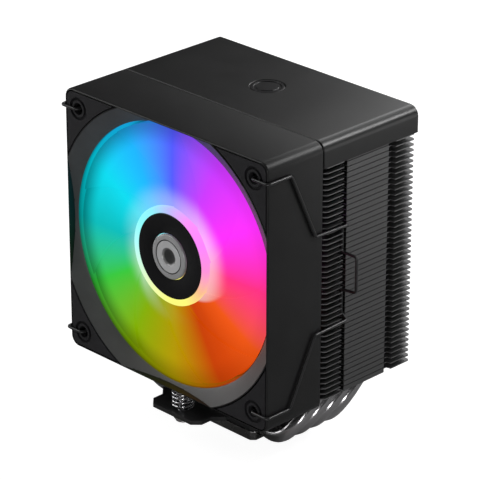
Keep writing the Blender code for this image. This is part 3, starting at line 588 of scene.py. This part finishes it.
def tube(path, radius, resolution=6):
    curve = bpy.data.curves.new("tube", "CURVE")
    curve.dimensions = "3D"
    curve.bevel_depth = radius
    curve.bevel_resolution = resolution
    curve.use_fill_caps = True
    spline = curve.splines.new("POLY")
    spline.points.add(len(path) - 1)
    for point, place in zip(spline.points, path):
        point.co = (*place, 1)
    return baked(bpy.data.objects.new("tube", curve))


def baked(obj):
    """The object's evaluated mesh in world space, welded; the object itself goes."""
    bpy.context.scene.collection.objects.link(obj)
    bpy.context.view_layer.update()
    graph = bpy.context.evaluated_depsgraph_get()
    mesh = bpy.data.meshes.new_from_object(obj.evaluated_get(graph))
    mesh.transform(obj.matrix_world)
    bpy.data.objects.remove(obj)
    shape = bmesh.new()
    shape.from_mesh(mesh)
    bmesh.ops.remove_doubles(shape, verts=shape.verts, dist=1e-7)
    return mesh_of(shape)


def combine(mesh, others, operation="DIFFERENCE"):
    """Cuts the others from the mesh one by one, or joins or crosses them."""
    for other in others:
        tool = bpy.data.objects.new("tool", other)
        bpy.context.scene.collection.objects.link(tool)
        obj = bpy.data.objects.new("base", mesh)
        step = obj.modifiers.new("step", "BOOLEAN")
        step.operation = operation
        step.object = tool
        mesh = baked(obj)
        bpy.data.objects.remove(tool)
    return mesh


def box(low, high):
    shape = bmesh.new()
    bmesh.ops.create_cube(shape, size=1.0)
    size = [b - a for a, b in zip(low, high)]
    bmesh.ops.scale(shape, vec=size, verts=shape.verts)
    bmesh.ops.translate(shape, vec=[(a + b) / 2 for a, b in zip(low, high)], verts=shape.verts)
    return mesh_of(shape)


def together(meshes):
    """Several meshes as one, with nothing cut or welded."""
    shape = bmesh.new()
    for mesh in meshes:
        shape.from_mesh(mesh)
    joined = bpy.data.meshes.new("joined")
    shape.to_mesh(joined)
    shape.free()
    return joined


def bent(points):
    """Rounds the corners of a path of (point, radius) pairs."""
    steps = 6
    path = [Vector(points[0][0])]
    for i in range(1, len(points) - 1):
        corner = Vector(points[i][0])
        before = (Vector(points[i - 1][0]) - corner).normalized()
        after = (Vector(points[i + 1][0]) - corner).normalized()
        angle = before.angle(after)
        reach = points[i][1] / math.tan(angle / 2)
        centre = corner + (before + after).normalized() * points[i][1] / math.sin(angle / 2)
        first = corner + before * reach - centre
        last = corner + after * reach - centre
        axis = first.cross(last).normalized()
        sweep = first.angle(last)
        for step in range(steps + 1):
            path.append(centre + Matrix.Rotation(sweep * step / steps, 3, axis) @ first)
    path.append(Vector(points[-1][0]))
    return path


def signs():
    return [(sx, sz) for sz in (-1, 1) for sx in (-1, 1)]


# Fan frame and pads


def pad_loop(sx, sz, arc_radius, inset):
    """Outline of a corner: two straight sides, a round corner and an arc about the fan's axis."""
    edge_x = HALF - inset
    edge_z = (TOP - FRAME_LOW.z) / 2 - inset
    corner = CORNER - inset
    end_x = math.sqrt(arc_radius**2 - edge_z**2)
    end_z = math.sqrt(arc_radius**2 - edge_x**2)
    first = math.degrees(math.atan2(end_z, edge_x))
    last = math.degrees(math.atan2(edge_z, end_x))
    points = arc((0, 0), arc_radius, last, first, 28)
    points += arc((edge_x - corner, edge_z - corner), corner, 0, 90, 8)
    return [(sx * x, AXIS_Z + sz * z) for x, z in points]


def fan_hole(sx, sz, radius, start, end, sides=32):
    place = (sx * HOLE, 0, AXIS_Z + sz * HOLE)
    return turned([(0, end), (radius, end), (radius, start), (0, start)], sides, place, TO_Y)


def frame_body():
    """Square frame with rounded front edges, a bell mouth inside a thin rim, and pad pockets."""
    sections = [(0, 0.75), (0.07, 0.48), (0.22, 0.24), (0.45, 0.08), (0.8, 0.0)]
    loops = []
    half_z = (TOP - FRAME_LOW.z) / 2
    depths = [(FRONT + y * MM, inset * MM) for y, inset in sections]
    depths += [(BACK - 0.25 * MM, 0.0), (BACK, 0.25 * MM)]
    for y, inset in depths:
        outline = rounded(HALF - inset, half_z - inset, CORNER - inset, 10, (0, AXIS_Z))
        loops.append([(x, y, z) for x, z in outline])
    body = loft(loops)
    half = HALF - RIM
    bell_profile = [(0, FRONT + BELL_DEPTH + MM), (THROAT, FRONT + BELL_DEPTH + MM)]
    for t in (1.0, 0.94, 0.86, 0.74, 0.56, 0.3, 0.0):
        swell = (1 - t) ** 1.15
        bell_profile.append((THROAT + (BELL - THROAT) * swell, FRONT + BELL_DEPTH * t))
    bell_profile += [(BELL + 0.8 * MM, FRONT - 0.5 * MM), (0, FRONT - 0.5 * MM)]
    bell = fan_turned(bell_profile, 144)
    inside = box((-half, FRONT - MM, AXIS_Z - half), (half, FRONT + BELL_DEPTH + 2 * MM, AXIS_Z + half))
    bell = combine(bell, [inside], "INTERSECT")
    throat = fan_turned([(0, BACK + MM), (THROAT, BACK + MM), (THROAT, FRONT - MM), (0, FRONT - MM)], 144)
    pockets = []
    for sx, sz in signs():
        loop = pad_loop(sx, sz, PAD_ARC - PAD_GAP, RIM)
        pockets.append(plate([loop], FRONT - MM, FRONT + 2.5 * MM, True))
        pockets.append(fan_hole(sx, sz, HOLE_RADIUS, FRONT - MM, BACK + MM))
    outlet = box((40 * MM, BACK - 4 * MM, FRAME_LOW.z - MM), (46 * MM, BACK + MM, FRAME_LOW.z + 8 * MM))
    return combine(body, [throat, bell, *pockets, outlet])


def build_frame():
    shell = piece("fan_shell", frame_body(), ["fan_frame"], FRAME_PLASTIC, angle=24)
    shell.data.materials.append(BELL_PAINTED_LIGHT)
    shell.data.materials.append(THROAT_PAINTED_SPILL)
    # Faces inside the bell take the painted-light copy of the plastic, and the throat wall takes the painted
    # spill glow.
    for face in shell.data.polygons:
        x, _, z = face.center
        reach = math.hypot(x, z - AXIS_Z)
        inward = face.normal.x * x + face.normal.z * (z - AXIS_Z) < 0
        if inward and reach < BELL and abs(x) < HALF - 0.9 * MM and abs(z - AXIS_Z) < HALF - 0.9 * MM:
            face.material_index = 2 if reach < THROAT + 0.2 * MM and abs(face.normal.y) < 0.2 else 1
    build_motor_holder()


def build_motor_holder():
    """Flat cup with the bearing tube in its middle, held by four arms, one wide for the wires."""
    profile = [
        (22.5, -19.6), (22.3, -19.4), (4.3, -19.4), (4.3, -38.8), (4.6, -39.0), (5.5, -39.0), (5.6, -38.8),
        (5.6, -23.4), (6.2, -22.8), (22.1, -22.8), (22.5, -22.4),
    ]
    parts = [fan_turned(millimetres(profile), 64)]
    for angle, width in ((35, 8), (125, 4), (215, 4), (305, 4)):
        arm = box((18 * MM, -22.6 * MM, -width / 2 * MM), (THROAT + 0.6 * MM, -19.5 * MM, width / 2 * MM))
        arm.transform(Matrix.Translation((0, 0, AXIS_Z)) @ Matrix.Rotation(math.radians(angle), 4, "Y"))
        parts.append(arm)
    holder = combine(parts[0], parts[1:], "UNION")
    piece("motor_holder", holder, [], FRAME_PLASTIC, 0.3 * MM, "cooler")


def build_pads():
    for sx, sz in signs():
        node = f"corner_pad_{'upper' if sz > 0 else 'lower'}_{'right' if sx > 0 else 'left'}"
        pad = plate([pad_loop(sx, sz, PAD_ARC, RIM + PAD_GAP)], FRONT, FRONT + 2.2 * MM, True)
        place = (sx * HOLE, 0, AXIS_Z + sz * HOLE)
        floor = FRONT + 1.15 * MM
        groove = [(5.1 * MM, floor), (5.1 * MM, FRONT - MM), (3.75 * MM, FRONT - MM), (3.75 * MM, floor)]
        hole = fan_hole(sx, sz, HOLE_RADIUS, FRONT - MM, FRONT + 5 * MM, 48)
        pad = combine(pad, [turned(groove, 48, place, TO_Y), hole])
        piece(f"{node}_rubber", pad, [node], PAD_RUBBER, 0.16 * MM)


# Impeller


def blade_point(index, out, along, side):
    """A point of one face of a blade, from its share of the way out and of the way round."""
    root = 21.3 * MM
    radius = root + (TIP - root) * out
    swept = -40 * out**0.8
    half_span = 37.0
    angle = math.radians(360 * index / BLADES + swept - half_span + 2 * half_span * along)
    depth = -44.9 + 14.0 * along**4
    thick = 0.75 * math.sqrt(max(0.0, math.sin(math.pi * min(1, 0.02 + 0.96 * along)))) + 0.05
    thick *= 1 - 0.75 * max(0.0, out - 0.93) / 0.07
    depth += side * thick
    return Vector((radius * math.sin(angle), depth * MM, AXIS_Z + radius * math.cos(angle)))


def blade(index):
    """One wide blade, swept as it goes out, curved along its chord, thin at its edges and tip."""
    radial = 22
    chord = 18
    shape = bmesh.new()
    sheets = []
    for side in (1, -1):
        places = [[(i / radial, j / chord) for j in range(chord + 1)] for i in range(radial + 1)]
        sheets.append([[shape.verts.new(blade_point(index, *at, side)) for at in row] for row in places])
    back, front = sheets
    for i in range(radial):
        for j in range(chord):
            for sheet, flip in ((back, False), (front, True)):
                face = [sheet[i][j], sheet[i][j + 1], sheet[i + 1][j + 1], sheet[i + 1][j]]
                shape.faces.new(list(reversed(face)) if flip else face)
    border = [(i, 0) for i in range(radial)] + [(radial, j) for j in range(chord)]
    border += [(i, chord) for i in range(radial, 0, -1)] + [(0, j) for j in range(chord, 0, -1)]
    for k, (i, j) in enumerate(border):
        m, n = border[(k + 1) % len(border)]
        shape.faces.new((front[i][j], front[m][n], back[m][n], back[i][j]))
    return mesh_of(shape)


def build_impeller():
    front = HUB_FRONT
    fillet = 0.9 * MM
    seat = front + 1.2 * MM
    under = front + 2.6 * MM
    inner = HUB - 1.3 * MM
    profile = [(HUB, HUB_BACK), (HUB, front + fillet)]
    for t in (0.4, 0.8, 1.2):
        profile.append((HUB - fillet + fillet * math.cos(t), front + fillet - fillet * math.sin(t)))
    profile += [
        (HUB - fillet, front), (CAP + 0.45 * MM, front), (CAP + 0.25 * MM, front + 0.2 * MM),
        (CAP + 0.25 * MM, seat), (0, seat), (0, under), (inner, under), (inner, HUB_BACK),
    ]
    piece("impeller_hub", fan_turned(profile, 96), ["impeller"], RING_LIGHT)
    blades = together([blade(i) for i in range(BLADES)])
    piece("impeller_blades", blades, [], BLADE_LIGHT, body="rotor", angle=50)
    y = front + 0.1 * MM
    lip = BADGE + 0.3 * MM
    cap = [
        (CAP, y + 0.75 * MM), (CAP, y + 0.2 * MM), (CAP - 0.2 * MM, y), (BADGE + 1.3 * MM, y - 0.05 * MM),
        (BADGE + 0.9 * MM, y + 0.15 * MM), (lip, y + 0.2 * MM), (lip, y + 0.75 * MM),
    ]
    piece("hub_cap_disc", fan_turned(cap, 96), ["hub_cap"], CAP_PLASTIC)
    badge = fan_turned(badge_profile(), 80)
    piece("hub_badge_disc", badge, ["hub_badge"], BADGE_METAL, angle=40)


def badge_profile():
    """A rounded rim, a narrow groove inside it, and a round hollow in the middle."""
    y = HUB_FRONT - BADGE_PROUD
    outer = y + 0.6 * MM
    profile = [(0, y + 1.5 * MM), (BADGE, y + 1.5 * MM), (BADGE, outer)]
    for t in (0.5, 1.0, 1.57):
        profile.append((BADGE - 0.7 * MM * (1 - math.cos(t)), outer - 0.5 * MM * math.sin(t)))
    profile += [(7.75 * MM, y + 0.02 * MM), (7.55 * MM, y + 0.3 * MM), (7.3 * MM, y + 0.3 * MM)]
    profile += [(7.1 * MM, y + 0.08 * MM), (4.1 * MM, y + 0.16 * MM)]
    for t in (0.12, 0.35, 0.6, 0.85, 1.1, 1.35):
        profile.append((4.0 * MM * math.cos(t), y + 0.16 * MM + 1.15 * MM * math.sin(t)))
    return profile + [(0, y + 1.31 * MM)]


# Fins, pipes and cover


def fin_loop():
    """Outline of a fin: chamfered at the front, with a clip slot and a notch in each side."""
    side = FIN_HALF - 0.05 * MM
    floor = side - SLOT_DEPTH
    front = FIN_LOW.y
    back = FIN_HIGH.y
    chamfer = 2.6 * MM
    notch_end = WALL_BACK + 4.5 * MM
    right = [
        (side - chamfer, front), (side, front + chamfer), (side, -5.3 * MM), (floor, -5.25 * MM),
        (floor, -3.5 * MM), (side, WALL_FRONT), (side, WALL_BACK), (floor, WALL_BACK + 0.5 * MM),
        (floor, notch_end - 0.5 * MM), (side, notch_end), (side, back - 0.8 * MM), (side - 0.8 * MM, back),
    ]
    return right + [(-x, y) for x, y in reversed(right)]


def pipe_ends():
    """For each pipe its Y in the base, its Y in the fins and its top."""
    ends = []
    for i in range(PIPE_COUNT):
        step = i - (PIPE_COUNT - 1) / 2
        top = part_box(f"heat_pipe_{i + 1}")[1].z
        ends.append((step * 9.6 * MM, 8.0 * MM + step * 8.8 * MM, top))
    return ends


def one_fin():
    """A fin with its pipe holes, the collars round them and its two folded sides."""
    places = [(side * PIPE_X, y) for _, y, _ in pipe_ends() for side in (-1, 1)]
    inner = PIPE_RADIUS + 0.06 * MM
    outer = PIPE_RADIUS + 0.4 * MM
    low = FIN_THICK * 0.5
    high = FIN_THICK + 0.9 * MM
    parts = [plate([fin_loop(), *[circle(place, inner, 20) for place in places]], 0, FIN_THICK)]
    collar = [(outer + 0.4 * MM, low), (outer, low + 0.5 * MM), (outer, high), (inner, high), (inner, low)]
    parts += [turned(collar, 20, (x, y, 0)) for x, y in places]
    fold = (FIN_HALF - 0.45 * MM, FIN_HALF - 0.02 * MM)
    for first, last in ((-fold[1], -fold[0]), fold):
        parts.append(box((first, WALL_FRONT, 0), (last, WALL_BACK, FIN_PITCH - 0.34 * MM)))
    return together(parts)


def build_fins():
    single = one_fin()
    stack = bmesh.new()
    for i in range(FIN_COUNT):
        copy = single.copy()
        copy.transform(Matrix.Translation((0, 0, FIN_LOW.z + i * FIN_PITCH)))
        stack.from_mesh(copy)
        bpy.data.meshes.remove(copy)
    mesh = bpy.data.meshes.new("fins")
    stack.to_mesh(mesh)
    stack.free()
    piece("fin_plates", mesh, ["fin_stack"], FIN_METAL, angle=30)
    mesh.materials.append(FIN_EDGE_PAINTED_HIGHLIGHT)
    # Edge faces outside the folded walls take the lighter painted-highlight copy of the fin coat.
    for face in mesh.polygons:
        x, y, _ = face.center
        fold = abs(x) > FIN_HALF - 0.6 * MM and WALL_FRONT < y < WALL_BACK
        if abs(face.normal.z) < 0.5 and not fold:
            face.material_index = 1


def bezier(start, out, back, end, steps):
    points = []
    for i in range(steps + 1):
        t = i / steps
        s = 1 - t
        points.append(s**3 * start + 3 * s * s * t * out + 3 * s * t * t * back + t**3 * end)
    return points


def build_pipes():
    """Each pipe runs across the base, sweeps up and back, and goes straight up through the fins."""
    lean_way = Vector((0.06, 1.0, 1.0))
    for i, (y_base, y_fins, top) in enumerate(pipe_ends()):
        start = Vector((BLOCK_HIGH.x, y_base, PIPE_Z))
        lean = Vector((PIPE_X - 0.6 * MM, y_fins - 4.6 * MM, 25.5 * MM))
        end = Vector((PIPE_X, y_fins, FIN_LOW.z))
        first = bezier(start, start + Vector((6 * MM, 0, 0)), lean - 18 * MM * lean_way, lean, 22)
        second = bezier(lean, lean + 2.4 * MM * lean_way, end - Vector((0, 0, 3 * MM)), end, 8)
        right = first + second[1:] + [Vector((PIPE_X, y_fins, top))]
        left = [Vector((-p.x, p.y, p.z)) for p in reversed(right)]
        node = f"heat_pipe_{i + 1}"
        piece(f"{node}_tube", tube(left + right, PIPE_RADIUS), [node], PIPE_METAL, angle=50)


def build_cover():
    """Smooth cap with large fillets along its sides, softened ends and a plain disc let into its top."""
    half = COVER_HIGH.x
    loops = []
    ends = [(0.0, 0.3), (0.12, 0.12), (0.3, 0.0)]
    depths = [(COVER_LOW.y + a * MM, b * MM) for a, b in ends]
    depths += [(COVER_HIGH.y - a * MM, b * MM) for a, b in reversed(ends)]
    for y, inset in depths:
        radius = CORNER - inset
        right = [(half - inset, COVER_LOW.z)]
        right += arc((half - inset - radius, TOP - inset - radius), radius, 0, 90, 14)
        outline = right + [(-x, z) for x, z in reversed(right)]
        loops.append([(x, y, z) for x, z in outline])
    cover = loft(loops)
    wall = 1.8 * MM
    right = [(half - wall, COVER_LOW.z - MM)]
    right += arc((half - CORNER, TOP - CORNER), CORNER - wall, 0, 90, 10)
    outline = right + [(-x, z) for x, z in reversed(right)]
    inner = plate([outline], COVER_LOW.y + wall, COVER_HIGH.y - wall, True)
    low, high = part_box("cover_emblem")
    middle = (0, (low.y + high.y) / 2, 0)
    radius = high.x + 0.25 * MM
    floor = TOP - 0.9 * MM
    rim = [(0, TOP + MM), (radius + MM, TOP + MM), (radius + 0.25 * MM, TOP), (radius, TOP - 0.2 * MM)]
    rim += [(radius, floor), (0, floor)]
    cover = combine(cover, [inner, turned(rim, 72, middle)])
    piece("cover_shell", cover, ["top_cover"], COVER_PLASTIC, angle=24)
    radius = high.x
    face = TOP - 0.1 * MM
    groove = TOP - 0.4 * MM
    disc = [
        (0, low.z), (radius, low.z), (radius, TOP - 0.28 * MM), (radius - 0.2 * MM, face),
        (radius - 1.3 * MM, face), (radius - 1.6 * MM, groove), (radius - 2.4 * MM, groove),
        (radius - 2.7 * MM, face), (0, TOP - 0.06 * MM),
    ]
    piece("cover_disc", turned(disc, 72, middle), ["cover_emblem"], CAP_PLASTIC)


# Base and fixings


def build_base():
    """Cold plate and block: chamfered slabs with the pipes' grooves where they meet."""
    chamfer = 2 * MM
    reach = 30 * MM
    across = Matrix.Rotation(math.radians(90), 4, "Y")
    for node, surface, slot in (
        ("cold_plate", PLATE_METAL, "nickel"),
        ("pipe_clamp_block", BLOCK_METAL, "black_aluminium"),
    ):
        low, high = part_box(node)
        corner = [(high.x, high.y - chamfer), (high.x - chamfer, high.y)]
        outline = []
        for sx, sy in ((1, 1), (-1, 1), (-1, -1), (1, -1)):
            outline += [(sx * x, sy * y) for x, y in (corner if sx * sy > 0 else reversed(corner))]
        grooves = []
        radius = PIPE_RADIUS + 0.15 * MM
        for y, _, _ in pipe_ends():
            rod = [(0, reach), (radius, reach), (radius, -reach), (0, -reach)]
            grooves.append(turned(rod, 32, (0, y, PIPE_Z), across))
        body = combine(plate([outline], low.z, high.z), grooves)
        piece(f"{node}_body", body, [node], surface, 0.35 * MM)


def build_bar():
    tab = 15.1 * MM
    shoulder = 34.2 * MM
    chamfer = 3.4 * MM
    quarter = [(BAR_HIGH.x, shoulder), (tab, 38.6 * MM)]
    quarter += [(tab, BAR_HIGH.y - chamfer), (tab - chamfer, BAR_HIGH.y)]
    back = quarter + [(-x, y) for x, y in reversed(quarter)]
    loops = [back + [(-x, -y) for x, y in back]]
    loops += [circle((0, side * SCREW_Y), 3.5 * MM, 40) for side in (-1, 1)]
    for sx, sy in signs():
        loops.append(circle((sx * 14 * MM, sy * 9 * MM), 1.8 * MM, 24))
    bar = plate(loops, BAR_LOW.z, BAR_HIGH.z)
    piece("crossbar_plate", bar, ["crossbar"], BAR_METAL, 0.22 * MM)


def slots(x, y, top, reach, half, depth):
    """Cutters for a crossed recess in a screw head."""
    one = box((x - reach, y - half, top - depth), (x + reach, y + half, top + MM))
    two = box((x - half, y - reach, top - depth), (x + half, y + reach, top + MM))
    return [one, two]


def build_screws():
    for i in range(4):
        node = f"crossbar_screw_{i + 1}"
        low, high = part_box(node)
        x = (low.x + high.x) / 2
        y = (low.y + high.y) / 2
        radius = (high.x - low.x) / 2
        shank = 1.5 * MM
        dome = [(0, high.z)]
        for t in (0.3, 0.6, 0.9, 1.2, 1.45):
            dome.append((radius * math.sin(t), high.z - 1.6 * MM * (1 - math.cos(t))))
        dome += [(radius, BAR_HIGH.z + 0.3 * MM), (shank, BAR_HIGH.z + 0.2 * MM), (shank, low.z), (0, low.z)]
        head = combine(turned(dome, 32, (x, y, 0)), slots(x, y, high.z, 1.3 * MM, 0.3 * MM, 0.8 * MM))
        piece(f"{node}_head", head, [node], BAR_METAL)
    for end, y in (("front", -SCREW_Y), ("rear", SCREW_Y)):
        build_sprung_screw(end, y)
        build_bush(end, y)
        build_retaining_ring(end, y)
        build_spring(end, y)


def build_sprung_screw(end, y):
    """Wide flanged head, plain neck and a shank with thread rings below the bush."""
    low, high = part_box(f"sprung_screw_{end}")
    shank = 2.0 * MM
    pitch = 0.7 * MM
    profile = [(0, high.z), (4.2 * MM, high.z), (4.9 * MM, high.z - 0.25 * MM), (5.2 * MM, high.z - 0.8 * MM)]
    profile += millimetres([(5.2, 25.6), (5.0, 25.4), (3.0, 25.4), (3.0, 22.9), (2.8, 22.7), (2.0, 22.7)])
    z = BUSH_FLANGE
    while z > low.z + 1.2 * MM:
        profile += [(shank, z), (shank - 0.25 * MM, z - 0.25 * MM), (shank, z - 0.5 * MM)]
        z -= pitch
    profile += [(1.9 * MM, low.z + 0.8 * MM), (1.3 * MM, low.z), (0, low.z)]
    screw = combine(turned(profile, 40, (0, y, 0)), slots(0, y, high.z, 2.6 * MM, 0.55 * MM, 1.2 * MM))
    piece(f"sprung_screw_{end}_turned", screw, [f"sprung_screw_{end}"], STEEL, angle=28)


def build_bush(end, y):
    low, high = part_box(f"screw_bush_{end}")
    bore = 2.3 * MM
    sleeve = 3.2 * MM
    flange = 4.2 * MM
    profile = [
        (bore, high.z), (sleeve - 0.1 * MM, high.z), (sleeve, high.z - 0.15 * MM), (sleeve, BUSH_FLANGE),
        (flange - 0.2 * MM, BUSH_FLANGE), (flange, BUSH_FLANGE - 0.2 * MM), (flange, low.z + 0.3 * MM),
        (flange - 0.3 * MM, low.z), (bore + 0.2 * MM, low.z), (bore, low.z + 0.2 * MM),
    ]
    bush = turned(profile, 48, (0, y, 0))
    piece(f"screw_bush_{end}_sleeve", bush, [f"screw_bush_{end}"], STEEL)


def build_retaining_ring(end, y):
    """Open ring that keeps the screw in its bush."""
    node = f"screw_clip_{end}"
    low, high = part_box(node)
    outer = 3.4 * MM
    inner = 2.1 * MM
    half_gap = 0.9 * MM
    ring = turned([(outer, high.z), (outer, low.z), (inner, low.z), (inner, high.z)], 48, (0, y, 0))
    mouth = box((-half_gap, y + MM, low.z - MM), (half_gap, y + 5 * MM, high.z + MM))
    piece(f"{node}_ring", combine(ring, [mouth]), [node], STEEL, 0.1 * MM)


def build_spring(end, y):
    """Coil whose first and last turns lie close, as ground spring ends do."""
    low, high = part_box(f"screw_spring_{end}")
    wire = 0.52 * MM
    radius = 4.4 * MM
    bottom = low.z + wire + 0.05 * MM
    top = high.z - wire
    close = 1.15 * MM
    turns = 4.5
    steps = 32
    path = []
    for i in range(int(turns * steps) + 1):
        turn = i / steps
        middle = min(max(turn - 1, 0), turns - 2)
        ends = min(turn, 1) + max(turn - turns + 1, 0)
        z = bottom + close * ends + (top - bottom - 2 * close) * middle / (turns - 2)
        angle = math.tau * turn
        path.append(Vector((radius * math.cos(angle), y + radius * math.sin(angle), z)))
    node = f"screw_spring_{end}"
    coil = piece(f"{node}_coil", tube(path, wire, 4), [node], STEEL, angle=50)
    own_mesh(coil)


def build_clips():
    """Each wire hooks into two fan holes, runs back to the fins' slot and bulges in a finger grip."""
    side_x = HALF + WIRE_RADIUS + WIRE_GAP
    front_y = FRONT - WIRE_RADIUS - WIRE_GAP
    leg_x = FIN_HALF - 0.05 * MM - SLOT_DEPTH + WIRE_RADIUS + WIRE_GAP
    leg_y = -4.45 * MM
    grip_z = 88.6 * MM
    for side, sx in (("left", -1), ("right", 1)):
        node = f"wire_clip_{side}"
        low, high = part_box(node)
        reach = max(abs(low.x), abs(high.x)) - WIRE_RADIUS
        half = [
            ((HOLE, FRONT + 5 * MM, HOLE), 0),
            ((HOLE, front_y, HOLE), 1.4 * MM),
            ((side_x, front_y, HOLE), 1.4 * MM),
            ((side_x, -38.2 * MM, HOLE), 1.6 * MM),
            ((side_x, -23.7 * MM, 22.4 * MM), 1.6 * MM),
            ((side_x, leg_y, 21.8 * MM), 1.2 * MM),
            ((leg_x, leg_y, 19.6 * MM), 1.2 * MM),
            ((leg_x, leg_y, 8.6 * MM), 1.2 * MM),
            ((reach, leg_y + 0.8 * MM, 8.2 * MM), 1.4 * MM),
        ]
        lower = [((x, y, -z), bend) for (x, y, z), bend in reversed(half)]
        points = []
        for (x, y, z), bend in half + lower:
            base = AXIS_Z if abs(z) >= HOLE - 0.01 * MM else grip_z
            points.append(((sx * x, y, base + z), bend))
        wire = tube(bent(points), WIRE_RADIUS - 0.02 * MM, 4)
        piece(f"{node}_wire", wire, [node], WIRE_METAL, angle=50)


# CAD nodes that keep their shape


def dress_inner_nodes():
    wanted = {
        "rotor_yoke": STEEL, "rotor_magnet": CORE_METAL, "shaft": STEEL, "shaft_clip": STEEL,
        "bearing_sleeve": BRONZE, "bearing_cap": FRAME_PLASTIC, "stator_core": CORE_METAL,
        "light_board": BOARD, "damping_strip_left": PAD_RUBBER, "damping_strip_right": PAD_RUBBER,
    }
    for i in range(4):
        wanted[f"winding_{i + 1}"] = COPPER
    for node, surface in wanted.items():
        mesh = NODES[node].data
        mesh.materials.clear()
        mesh.materials.append(surface)


# Stage


def area_light(name, place, aim, size, power):
    data = bpy.data.lights.new(name, "AREA")
    data.shape = "RECTANGLE"
    data.size, data.size_y = size
    data.energy = power
    lamp = bpy.data.objects.new(name, data)
    bpy.context.scene.collection.objects.link(lamp)
    lamp.location = place
    lamp.rotation_mode = "QUATERNION"
    lamp.rotation_quaternion = (Vector(aim) - Vector(place)).to_track_quat("-Z", "Y")


def build_stage():
    """Pale floor and surroundings that only the camera sees as bright, and six soft lights."""
    made, nodes, links, shader = material("studio_floor", Roughness=0.9, Specular_IOR_Level=0.1)
    place = object_place(nodes)
    paint(nodes, links, shader, noise(nodes, links, place, 3.0), [(0.3, (0.33,) * 3), (0.7, (0.36,) * 3)])
    seen = nodes.new("ShaderNodeLightPath").outputs["Is Camera Ray"]
    shader.inputs["Emission Color"].default_value = (1, 1, 1, 1)
    links.new(math_node(nodes, links, "MULTIPLY", seen, 0.94), shader.inputs["Emission Strength"])
    floor = bpy.data.objects.new("studio_floor", plate([rounded(6, 6, 1)], -0.012, -0.0006))
    floor.data.materials.append(made)
    bpy.context.scene.collection.objects.link(floor)
    world = bpy.data.worlds.new("studio")
    bpy.context.scene.world = world
    world.use_nodes = True
    nodes = world.node_tree.nodes
    links = world.node_tree.links
    seen = nodes.new("ShaderNodeLightPath").outputs["Is Camera Ray"]
    nodes["Background"].inputs["Color"].default_value = (1, 1, 1, 1)
    links.new(spread(nodes, links, seen, 0.05, 1.0), nodes["Background"].inputs["Strength"])
    middle = (0, 0, 0.09)
    area_light("back_softbox", (-0.25, 1.1, 0.75), middle, (1.0, 0.7), 7.0)
    area_light("key_softbox", (0.65, 0.8, 0.95), middle, (0.4, 0.4), 6.5)
    area_light("front_fill", (-0.9, -0.8, 0.95), middle, (0.8, 0.8), 4.5)
    area_light("side_panel", (0.36, 0.3, 0.12), (0.06, 0.01, 0.09), (0.18, 0.2), 0.16)
    area_light("left_panel", (-0.9, -0.25, 0.12), middle, (0.4, 0.5), 1.8)
    area_light("edge_strip", (0.8, -1.0, 0.06), middle, (0.3, 0.4), 3.5)
    bpy.context.scene.view_settings.view_transform = "Standard"


def build_camera():
    data = bpy.data.cameras.new("camera")
    data.sensor_width = 36
    data.lens = 213.8
    camera = bpy.data.objects.new("camera", data)
    bpy.context.scene.collection.objects.link(camera)
    azimuth = math.radians(45.27)
    elevation = math.radians(24.4)
    distance = 1.2302
    level = math.cos(elevation)
    back = Vector((math.sin(azimuth) * level, -math.cos(azimuth) * level, math.sin(elevation)))
    aim = Vector((-0.0043, -0.0018, 0.0814))
    camera.location = aim + back * distance
    camera.rotation_mode = "QUATERNION"
    camera.rotation_quaternion = (-back).to_track_quat("-Z", "Y")
    bpy.context.scene.camera = camera


build_camera()
build_frame()
build_pads()
build_impeller()
build_fins()
build_pipes()
build_cover()
build_base()
build_bar()
build_screws()
build_clips()
dress_inner_nodes()
build_stage()
